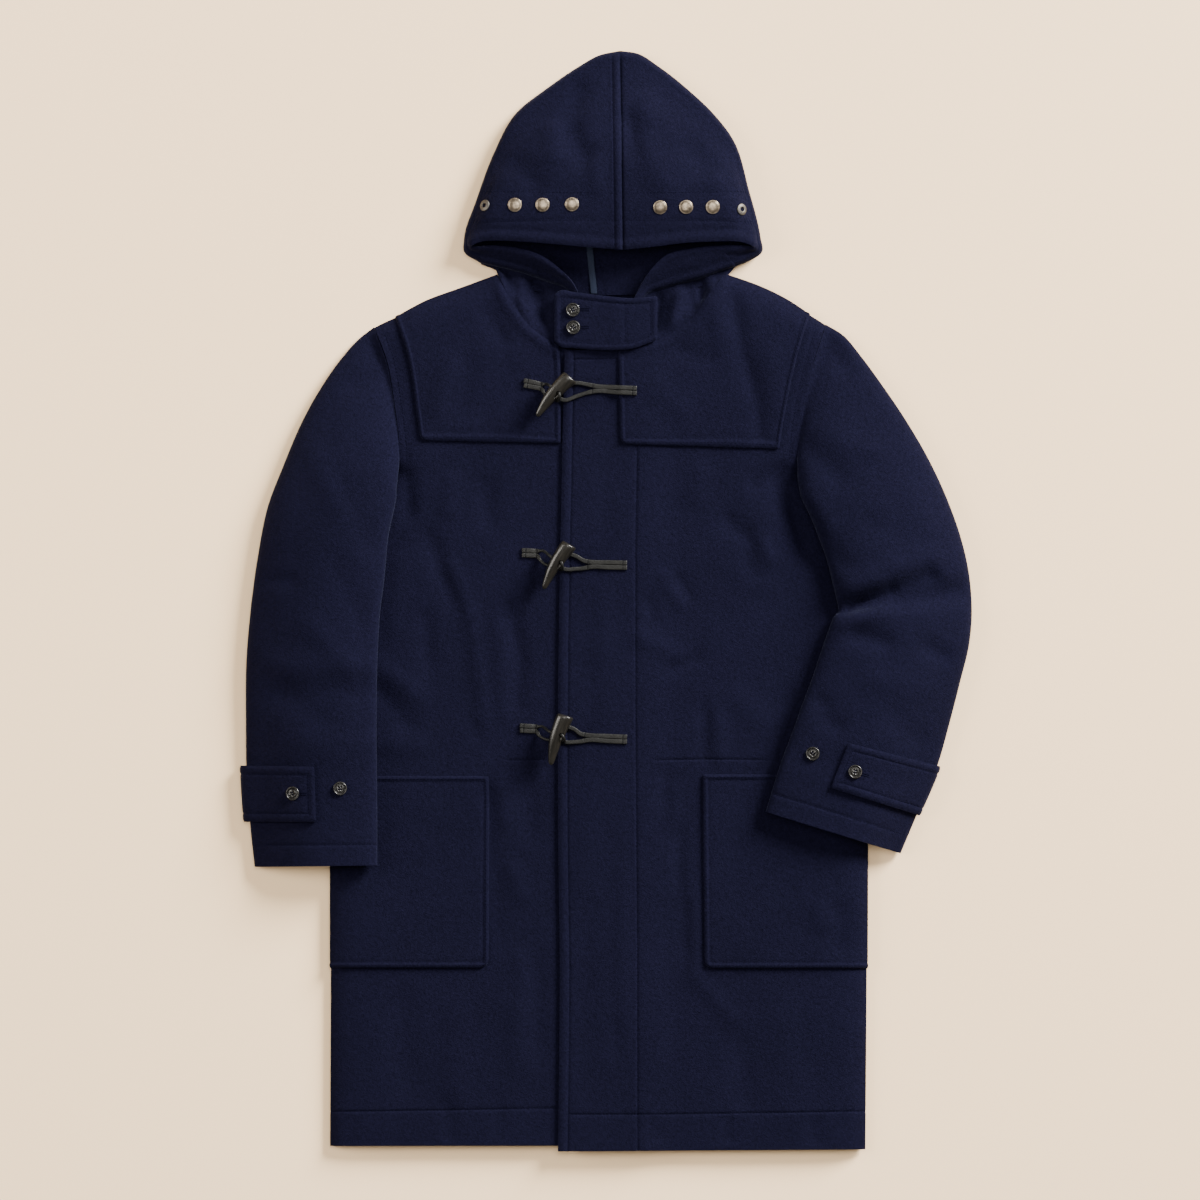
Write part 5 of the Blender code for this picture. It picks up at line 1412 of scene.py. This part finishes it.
# A half profile turned round Z
def turned(profile, steps=44):
    work = bmesh.new()
    verts = [work.verts.new((r, 0, z)) for r, z in profile]
    edges = [work.edges.new(pair) for pair in zip(verts, verts[1:])]
    bmesh.ops.spin(work, geom=verts + edges, cent=(0, 0, 0), axis=(0, 0, 1),
                   angle=2 * math.pi, steps=steps, use_merge=True)
    bmesh.ops.remove_doubles(work, verts=work.verts, dist=0.001)
    facingOut(work)
    return work


def cutAway(mesh, cutter):
    whole, tool = newObject(mesh.name, mesh), newObject(cutter.name, cutter)
    step = whole.modifiers.new("cut", "BOOLEAN")
    step.operation = "DIFFERENCE"
    step.object = tool
    step.solver = "EXACT"
    step.use_self = True
    result = bpy.data.meshes.new_from_object(whole.evaluated_get(bpy.context.evaluated_depsgraph_get()))
    for item in (whole, tool):
        bpy.data.objects.remove(item, do_unlink=True)
    return result


# Stands a piece up on a point of the cloth
def standOn(point, normal, turn=0):
    return (Matrix.Translation(point) @ normal.to_track_quat("Z", "Y").to_matrix().to_4x4()
            @ Matrix.Rotation(turn, 4, "Z"))


button = {"middleZ": 1.5, "holeOut": 1.75, "holeRadius": 0.85, "thread": 0.38, "sink": 0.25,
          "profile": ((0, 2.35), (4.3, 2.35), (4.9, 2), (5.4, 1.4), (5.9, 1.6), (6.4, 2.7),
                      (6.9, 3.35), (7.35, 3.35), (7.8, 2.9), (8, 2.3), (7.7, 1.3), (6.6, 0.5),
                      (5, 0.2), (0, 0.2))}
buttonTable = (
    ("tab_button_1", "throat_tab_cloth", -38, 334, 0.15),
    ("tab_button_2", "throat_tab_cloth", -37.5, 313.8, 0.80),
    ("cuff_button_right_1", "cuff_strap_right_cloth", -359.2, -221.4, 0.35),
    ("cuff_button_right_2", "sleeve_right_cloth", -305.2, -215.6, 0.6),
    ("cuff_button_left_1", "cuff_strap_left_cloth", 285.9, -196.4, 0.1),
    ("cuff_button_left_2", "sleeve_left_cloth", 237.5, -175.7, 0.5),
)


# A turned button with four drilled holes
def buttonMesh(name):
    whole = toMesh(name, turned(button["profile"]))
    holes = bmesh.new()
    for quarter in range(4):
        angle = math.pi * (quarter + 0.5) / 2
        spot = Matrix.Translation(Vector((math.cos(angle), math.sin(angle), 0)) * button["holeOut"]
                                  + Vector((0, 0, button["middleZ"])))
        bmesh.ops.create_cone(holes, cap_ends=True, segments=14, radius1=button["holeRadius"],
                              radius2=button["holeRadius"], depth=6, matrix=spot)
    return cutAway(whole, toMesh(name + "_holes", holes))


# Two bars of two strands through the holes, lying across the button
def threadBars():
    work = bmesh.new()
    out = button["holeOut"] * 0.7071
    for side in (-1, 1):
        for strand in (-0.32, 0.32):
            ring = bmesh.ops.create_circle(work, segments=8, radius=button["thread"])["verts"]
            bmesh.ops.translate(work, verts=ring, vec=(side * out + strand, -out, 0.6))
            edges = list({e for v in ring for e in v.link_edges})
            bmesh.ops.spin(work, geom=ring + edges, cent=(0, 0, 0.9), axis=(-1, 0, 0),
                           angle=math.pi * 1.16, steps=12)
    closeEnds(work)
    return toMesh("thread_bars", work)


threadMesh = threadBars()
for name, panel, x, y, turn in buttonTable:
    seat, normal = seatOn([panel], x, y)
    spot = Matrix.Scale(mm, 4) @ standOn(seat - normal * button["sink"], normal, turn)
    mesh = buttonMesh(name + "_horn")
    mesh.transform(spot)
    hardPiece(name + "_horn", mesh, finish["hornButton"], name)
    threads = threadMesh.copy()
    threads.transform(spot)
    hardPiece(name + "_thread", threads, finish["navyThread"])

snap = {"sink": 0.5,
        "cap": ((0, 2.5), (3, 2.42), (5.4, 2.1), (6.7, 1.65), (7.2, 1.35), (7.5, 1.45), (7.9, 1.25),
                    (8.2, 0.8), (8.1, 0.35), (7.6, 0.1), (0, 0.1)),
        "ring": ((2.3, 0.3), (2.2, 1.2), (2.6, 1.75), (3.4, 1.95), (4.4, 1.75), (5.3, 1.45), (6.2, 1.3),
                 (6.8, 0.8), (6.7, 0.3), (6.2, 0.1), (3, 0.1), (2.3, 0.3)),
        "shadeDisc": ((0, 0.45), (2.4, 0.45), (2.4, 0.1), (0, 0.1))}
snapTable = (
    ("hood_snap_1", "right", -104.7, 454.3), ("hood_snap_2", "right", -72.9, 454.3),
    ("hood_snap_3", "right", -39.1, 454.8), ("hood_snap_4", "left", 62.1, 451.4),
    ("hood_snap_5", "left", 92, 451.8), ("hood_snap_6", "left", 122.5, 451.8),
    ("hood_ring_snap_1", "right", -139.3, 453.7), ("hood_ring_snap_2", "left", 156, 449.1),
)
for name, side, x, y in snapTable:
    seat, normal = seatOn(["hood_" + side + "_cloth"], x, y)
    spot = Matrix.Scale(mm, 4) @ standOn(seat - normal * snap["sink"], normal)
    ringed = "ring" in name
    mesh = toMesh(name, turned(snap["ring" if ringed else "cap"]))
    mesh.transform(spot)
    hardPiece(name + "_metal", mesh, finish["dullSilver" if ringed else "antiqueSilver"], name)
    # Each ring snap's hole gets a thin black disc, painted shade for the hollow socket, using the leather's
    # black finish
    if ringed:
        shadeDisc = toMesh(name + "_well", turned(snap["shadeDisc"]))
        shadeDisc.transform(spot)
        hardPiece(name + "_well", shadeDisc, finish["blackLeather"])
print("buttons and snaps seated")


# Horn toggles, drilled for their cords

toggle = {"holeAt": 23, "holeRadius": 2.5, "layer": 31.8, "segments": 36, "steps": 4, "bow": 2.6,
          "tilt": 6, "waist": (9, 8.8), "scoop": (5.6, 2.5, 2.8), "sharp": 38,
          "tusk": ((0, 9), (0.5, 9.6), (1.6, 10.1), (5, 10.2), (12, 9.7), (24, 8.8), (36, 7.3),
                   (47, 5.4), (54, 4), (57.6, 2.9), (59.2, 1.5))}
toggleTable = (             # end x, y, heading of the tip, half width and height shares, rise
    (-41, 256.5, 229.4, 0.94, 0.68, 3.8), (-42, 64.5, 239.8, 0.90, 0.74, 1.6),
    (-46.5, -132, 253.2, 0.95, 0.72, 2.2),
)


# Place and heading of a toggle, tilted about its hole
def toggleFrame(number):
    x, y, heading, _, _, rise = toggleTable[number]
    turn = math.radians(heading)
    along = Vector((math.cos(turn), math.sin(turn), 0))
    across = Vector((along.y, -along.x, 0))
    base = Matrix((along, across, (0, 0, 1))).transposed().to_4x4()
    level = Matrix.Translation((x, y, toggle["layer"] + rise)) @ base
    pivot = Matrix.Translation((toggle["holeAt"], 0, 0))
    return level @ pivot @ Matrix.Rotation(math.radians(toggle["tilt"]), 4, "Y") @ pivot.inverted()


# A tusk drawn out from one ring, bowed along its length
def tuskMesh(name, wide, high):
    curve = rowCurve([row + (0,) for row in toggle["tusk"]])
    work = bmesh.new()
    ring = bmesh.ops.create_circle(work, cap_ends=True, segments=toggle["segments"], radius=1)["verts"]
    bmesh.ops.rotate(work, verts=ring, cent=(0, 0, 0), matrix=Matrix.Rotation(math.pi / 2, 3, "Y"))
    bmesh.ops.scale(work, verts=ring, vec=(1, wide, high))
    tip = work.faces[:]
    oldRadius, oldBow = 1, 0
    for step in range((len(toggle["tusk"]) - 1) * toggle["steps"] + 1):
        s, radius, _ = curve(step / toggle["steps"])
        bow = toggle["bow"] * math.sin(math.pi * s / toggle["tusk"][-1][0])
        if step:
            grown = bmesh.ops.extrude_face_region(work, geom=tip)["geom"]
            bmesh.ops.delete(work, geom=tip, context="FACES_ONLY")
            ring = [item for item in grown if isinstance(item, bmesh.types.BMVert)]
            tip = [item for item in grown if isinstance(item, bmesh.types.BMFace)]
        for vert in ring:
            share = radius / oldRadius
            vert.co = Vector((s, bow + (vert.co.y - oldBow) * share, vert.co.z * share))
        oldRadius, oldBow = radius, bow
    closeEnds(work)
    return toMesh(name, work)


# The hole through a tusk, and the scoop where the cord comes up
def drillMesh(name, wide, high):
    f, top = toggle["waist"][0] * wide, toggle["waist"][1] * high
    work = bmesh.new()
    for a, b in (((23, 14, 0), (23, -1, 0)), ((23.3, 1.5, -0.4), (21.5, -0.42 * f, 9))):
        a, b = Vector(a), Vector(b)
        spot = Matrix.Translation((a + b) / 2) @ (b - a).to_track_quat("Z", "Y").to_matrix().to_4x4()
        bmesh.ops.create_cone(work, cap_ends=True, segments=20, radius1=toggle["holeRadius"],
                              radius2=toggle["holeRadius"], depth=(b - a).length, matrix=spot)
    scoop = Matrix.Translation((25, -0.34 * f, 0.80 * top)) @ Matrix.Diagonal((*toggle["scoop"], 1))
    bmesh.ops.create_uvsphere(work, u_segments=20, v_segments=12, radius=1, matrix=scoop)
    return toMesh(name, work)


for number, (*_, wide, high, _) in enumerate(toggleTable):
    name = "toggle_" + str(number + 1)
    mesh = cutAway(tuskMesh(name, wide, high), drillMesh(name + "_drill", wide, high))
    grain = mesh.attributes.new("grain", "FLOAT_VECTOR", "POINT")
    for item, vert in zip(grain.data, mesh.vertices):
        item.vector = (vert.co.y * mm, vert.co.x * mm, vert.co.z * mm)
    mesh.transform(Matrix.Scale(mm, 4) @ toggleFrame(number))
    changeMesh(mesh, facingOut)
    hardPiece(name + "_horn", mesh, finish["darkHorn"], name)
    mesh.set_sharp_from_angle(angle=math.radians(toggle["sharp"]))
print("toggles cut")


# Leather straps: each is one narrow strip doubled side by side, and stitched across

leather = {"wide": 5.35, "thick": 2.2, "half": 2.8, "cord": 3.3, "rest": 0.15, "step": 1.5, "bar": 4.6,
           "pinch": 0.5, "stitch": 0.75, "stitchSink": 0.35}
toggleStraps = (          # outer end x, y, inner end x, y
    (-94.3, 250, -71, 245.5), (-96.6, 55, -76, 54), (-98.9, -146.5, -77, -147.8),
)
loopStraps = (         # outer end x, y, and where it splits
    (35.5, 241, -15, 243.5), (24.2, 40.5, -20.7, 41.5), (24.2, -159.5, -24.2, -157.5),
)
under = ("front_left_cloth", "front_right_cloth", "yoke_left_cloth", "yoke_right_cloth")


# A strip or cord through points, with a width, thickness and squareness at each
def sweep(name, points, sizes, sides=16):
    rows = []
    up = Vector((0, 0, 1))
    last = len(points) - 1
    for i, (point, (wide, thick, square)) in enumerate(zip(points, sizes)):
        run = (points[min(i + 1, last)] - points[max(i - 1, 0)]).normalized()
        if abs(run.z) < 0.45:
            up = up.lerp(Vector((0, 0, 1 if up.z >= 0 else -1)), 0.35)
        up = (up - run * up.dot(run)).normalized()
        side = run.cross(up)
        ring = []
        for k in range(sides):
            c, s = math.cos(2 * math.pi * (k + 0.5) / sides), math.sin(2 * math.pi * (k + 0.5) / sides)
            power = mix(1, 0.42, square)
            ring.append(point + side * math.copysign(abs(c) ** power, c) * wide / 2
                        + up * math.copysign(abs(s) ** power, s) * thick / 2)
        rows.append(ring)
    return changeMesh(gridMesh(name, rows, True), closeEnds)


# Heights at which a strap rests on the cloth, without dipping into it
def restingHeights(flat):
    raw = []
    for p in flat:
        seats = [seatOn(under, p.x, p.y + aside) for aside in (0, 2.4, -2.4)]
        raw.append(max(seat[0].z if seat else 12 for seat in seats))
    wide = [max(raw[max(0, i - 4):i + 5]) for i in range(len(raw))]
    near = [wide[max(0, i - 5):i + 6] for i in range(len(raw))]
    return [sum(few) / len(few) for few in near]


def evenly(points, corners=()):
    path = pathThrough([tuple(p) for p in points], corners)
    count = max(2, round(path.length / leather["step"]))
    return [path(i / count) for i in range(count + 1)]


def joined(name, meshes):
    work = bmesh.new()
    for mesh in meshes:
        work.from_mesh(mesh)
    return toMesh(name, work)


# One row of thread across a strap, sunk at its ends
def crossStitch(centre, across, halfWidth, top):
    line = [centre + across * halfWidth * t for t in (-1, -0.96, -0.5, 0, 0.5, 0.96, 1)]
    heights = (-1.4, 0.05, 0.22, 0, 0.22, 0.05, -1.4)
    points = [Vector((p.x, p.y, top + lift)) for p, lift in zip(line, heights)]
    return sweep("cross_stitch", points, [(leather["stitch"], leather["stitch"], 0)] * len(points), 8)


# Stitches across a strap at each x, on the height that topAt gives
def sewAcross(name, x0, y0, x1, y1, places, topAt):
    run = Vector((x1 - x0, y1 - y0, 0)).normalized()
    across = Vector((-run.y, run.x, 0))
    bars = []
    for x in places:
        spot = Vector((x, mix(y0, y1, (x - x0) / (x1 - x0)), 0))
        top = topAt(spot) + leather["thick"] / 2 - leather["stitchSink"]
        bars.append(crossStitch(spot, across, leather["wide"] + 0.2, top))
    hardPiece(name + "_stitches", joined(name + "_stitches", bars), finish["blackThread"])


# A strap that splits into a loop round the toggle's waist
def makeLoopStrap(number):
    x0, y0, x1, y1 = loopStraps[number]
    tusk = toggleFrame(number)
    waist = tusk @ Vector((toggle["holeAt"], 0, 0))
    half = leather["half"]
    bow = Vector((mix(x1, waist.x, 0.45), mix(y1, waist.y, 0.45)))
    end = waist.x - 1
    upper = [(x0, y0 + half), (mix(x0, x1, 0.5), mix(y0, y1, 0.5) + half), (x1 + 3, y1 + half),
             (x1 - 5, y1 + half + 1.6), (bow.x, bow.y + 8.6), (waist.x + 7, waist.y + 8.6),
             (end + 1.6, waist.y + 5.2), (end, waist.y)]
    lower = [(x, (2 * (y1 if x > bow.x else waist.y) - y) if x <= x1 - 5 else y - 2 * half)
             for x, y in upper[:-1]]
    lower[4] = (bow.x, bow.y - 6.6)
    flat = evenly([(x, y, 0) for x, y in upper + lower[::-1]])
    heights = restingHeights(flat)
    points = [Vector((p.x, p.y, z + leather["rest"] + leather["thick"] / 2)) for p, z in zip(flat, heights)]
    sizes = []
    for p in points:
        pinch = leather["pinch"] * (bell(p.x - (x0 - leather["bar"]), 0.9) + bell(p.x - x1, 0.9))
        narrow = 0.75 * ease((x1 - p.x) / 10)
        sizes.append((leather["wide"] - narrow, leather["thick"] - pinch, 1))
    name = "loop_strap_" + str(number + 1)
    hardPiece(name + "_leather", sweep(name, points, sizes), finish["blackLeather"], name)
    sewAcross(name, x0, y0, x1, y1, (x0 - leather["bar"], x1),
              lambda spot: min(points, key=lambda p: (p.xy - spot.xy).length).z)


# A strap whose strip narrows to a cord through the toggle
def makeToggleStrap(number):
    x0, y0, x1, y1 = toggleStraps[number]
    wide, high = toggleTable[number][3:5]
    tusk = toggleFrame(number)
    half = leather["half"]
    f, h, top = toggle["waist"][0] * wide, 8.1 * high, toggle["waist"][1] * high
    strapZ = max(restingHeights([Vector((mix(x0, x1, t), mix(y0, y1, t), 0)) for t in (0, 0.5, 1)]))
    strapZ += leather["rest"] + leather["thick"] / 2
    local = [(23, f + 3.4, 0), (23, 0.6 * f, 0), (22.8, 0.1 * f, 0.6), (22, -0.1 * f, 0.5 * top),
             (21.8, -0.3 * f, 0.86 * top + 0.4), (23.4, -0.52 * f, 0.8 * top + 1.4),
             (26.6, -0.8 * f, 0.35 * top + 1.2), (30, -0.88 * f, -0.2 * top),
             (31.8, -0.64 * f, -0.75 * top - 1.2), (31.2, -0.2 * f, -h - 1.9), (30.2, 3, -h - 1.9)]
    through = [tusk @ Vector(p) for p in local]
    near = Vector((x1, y1, strapZ))
    leaving = through[-1]
    start = [Vector((x0, y0 + half, strapZ)), Vector((mix(x0, x1, 0.5), mix(y0, y1, 0.5) + half, strapZ)),
             Vector((x1 - 1, y1 + half, strapZ)), Vector((x1 + 2.6, y1 + half + 0.4, strapZ + 2.4))]
    after = [near.lerp(leaving, 0.72) + Vector((-1, -4.2, 0.6)),
             near.lerp(leaving, 0.34) + Vector((-1.6, -6.6, 0.8)),
             near + Vector((-0.4, -6.6, 0.6)), Vector((x1 - 2.4, y1 - half - 0.5, strapZ)),
             Vector((mix(x0, x1, 0.5), mix(y0, y1, 0.5) - half, strapZ)), Vector((x0, y0 - half, strapZ))]
    points = evenly(start + through + after)
    sizes = []
    for p in points:
        cord = ease((p.x - (x1 - 3.5)) / 4.5)
        pinch = leather["pinch"] * bell(p.x - (x0 + leather["bar"]), 0.9) * (1 - cord)
        sizes.append((mix(leather["wide"], leather["cord"], cord),
                      mix(leather["thick"], leather["cord"], cord) - pinch, 1 - cord))
    name = "toggle_strap_" + str(number + 1)
    hardPiece(name + "_leather", sweep(name, points, sizes), finish["blackLeather"], name)
    sewAcross(name, x0, y0, x1, y1, (x0 + leather["bar"], x1 - 3.4), lambda spot: strapZ)


for number in range(3):
    makeLoopStrap(number)
    makeToggleStrap(number)
print("straps laid")


# Topstitching: short stitches bedded in the troughs

stitch = {"pitch": 4, "length": 3.2, "radius": 0.42, "sink": 0.12, "sides": 6}


# Places a stitch's pitch apart along a line in plan, with its direction
def alongLine(line):
    steps = []
    pitch = stitch["pitch"]
    spare = pitch * 0.5
    for (x0, y0), (x1, y1) in zip(line, line[1:]):
        run = math.hypot(x1 - x0, y1 - y0)
        while spare <= run:
            t = spare / run
            steps.append((mix(x0, x1, t), mix(y0, y1, t), (x1 - x0) / run, (y1 - y0) / run))
            spare += pitch
        spare -= run
    return steps


# Stitches along lines in plan, each seated on the cloth
def stitchPlaces(lines, panels):
    places = []
    for line in lines:
        for x, y, dx, dy in alongLine(line):
            seat = seatOn(panels, x, y)
            if seat is None or seat[1].z < 0.35:
                continue
            point, normal = seat
            run = Vector((dx, dy, 0))
            run = (run - normal * run.dot(normal)).normalized()
            side = normal.cross(run)
            turn = Matrix((run, side, normal)).transposed().to_4x4()
            places.append(Matrix.Translation(point - normal * stitch["sink"]) @ turn)
    return places


# One stitch, a long bead
def stitchMesh():
    work = bmesh.new()
    bmesh.ops.create_uvsphere(work, u_segments=stitch["sides"], v_segments=4, radius=1,
                              matrix=Matrix.Rotation(math.pi / 2, 4, "Y"))
    size = Vector((stitch["length"] / 2, stitch["radius"] * 1.15, stitch["radius"]))
    bmesh.ops.scale(work, verts=work.verts, vec=size)
    return toMesh("one_stitch", work)


# Copies of one small mesh joined at all its places
def scattered(name, template, places):
    base = np.empty(len(template.vertices) * 3)
    template.vertices.foreach_get("co", base)
    base = np.c_[base.reshape(-1, 3), np.ones(len(template.vertices))]
    moves = np.array([[list(row) for row in spot] for spot in places])
    coords = np.einsum("nij,kj->nki", moves, base)[:, :, :3].reshape(-1, 3) * mm
    faces = [[corner + len(base) * n for corner in face.vertices]
             for n in range(len(places)) for face in template.polygons]
    mesh = bpy.data.meshes.new(name)
    mesh.from_pydata(coords.tolist(), [], faces)
    return mesh


# Stitched lines inside the sewn edges of a yoke or pocket
def trimLines(side, p0, p1, q0, q1, beads):
    lines = []
    inset = trims["stitch"]
    steps = [i / 40 for i in range(41)]
    for edge in beads:
        if edge in ("low", "high"):
            q = q0 + inset if edge == "low" else q1 - inset
            flat = [frontFlat(side, mix(p0 + inset, p1 - inset, t), q) for t in steps]
        else:
            p = p0 + inset if edge == "front" else p1 - inset
            flat = [frontFlat(side, p, mix(q0 + inset, q1 - inset, t)) for t in steps]
        lines.append([tuple(point) for point in flat])
    return lines


def hemLine(side):
    fine = 3
    ring = smoothLoop(sleeveRing(side, sleeve["hem"][side]), fine)
    return [(p.x, p.y) for p in ring[sleeve["lowSteps"] * fine:][:sleeve["topSteps"] * fine]]


bandXs = {"right": range(-158, 17, 2), "left": range(22, 176, 2)}
seamYs = range(408, 627, 3)
oneStitch = stitchMesh()
groups = {}
for side in bothSides:
    front = "front_" + side
    groups[front] = stitchPlaces(frontStitches[side], [front + "_cloth", "yoke_" + side + "_cloth"])
    for trim in ("yoke_" + side, "pocket_" + side):
        groups[front] += stitchPlaces(trimLines(side, *trimEdges[trim]), [trim + "_cloth"])
    bands = [[(x, bandY(x, band)) for x in bandXs[side]] for band in (0, 1)]
    groups["hood_" + side] = stitchPlaces(bands, ["hood_" + side + "_cloth"])
    groups["sleeve_" + side] = (stitchPlaces([hemLine(side)], ["sleeve_" + side + "_cloth"])
                                + stitchPlaces(strapLines[side], ["cuff_strap_" + side + "_cloth"]))
seamLine = [(seamCentreX(y) - hood["seamStitch"], y) for y in seamYs]
groups["hood_right"] += stitchPlaces([seamLine], ["hood_right_cloth"])
groups["throat_tab"] = stitchPlaces(tabStitches, ["throat_tab_cloth"])
for name, places in groups.items():
    name += "_stitches"
    hardPiece(name, scattered(name, oneStitch, places), finish["navyThread"])
print("stitches sewn:", sum(len(places) for places in groups.values()))


# Buttonholes, each worked in two rows of close stitches

holeTable = (               # piece, from x, y, to x, y
    ("throat_tab_cloth", -33, 334.2, -19.6, 334.4), ("throat_tab_cloth", -33, 313.6, -19.6, 313.9),
    ("cuff_strap_right_cloth", -353, -221.6, -344, -222),
    ("cuff_strap_left_cloth", 290.5, -198.2, 301.5, -201.5),
)
holeStitch = {"pitch": 0.85, "wide": 1.15, "length": 1.9, "thin": 0.9}
holeSize = Matrix.Diagonal((holeStitch["length"] / stitch["length"], holeStitch["thin"],
                            holeStitch["thin"], 1))
for number, (panel, x0, y0, x1, y1) in enumerate(holeTable):
    run = Vector((x1 - x0, y1 - y0))
    away = Vector((-run.y, run.x)).normalized()
    steps = int(run.length / holeStitch["pitch"])
    places = []
    for share in (-1, 1):
        for i in range(steps + 1):
            flat = Vector((x0, y0)) + run * (i / steps) + away * holeStitch["wide"] * share
            point, normal = seatOn([panel], flat.x, flat.y)
            level = away.to_3d()
            beside = (level - normal * normal.dot(level)).normalized()
            turn = Matrix((beside, normal.cross(beside), normal)).transposed().to_4x4()
            places.append(Matrix.Translation(point) @ turn @ holeSize)
    name = "buttonhole_" + str(number + 1)
    hardPiece(name, scattered(name, oneStitch, places), finish["navyThread"])
print("buttonholes worked")


print("made", len(made), "pieces")
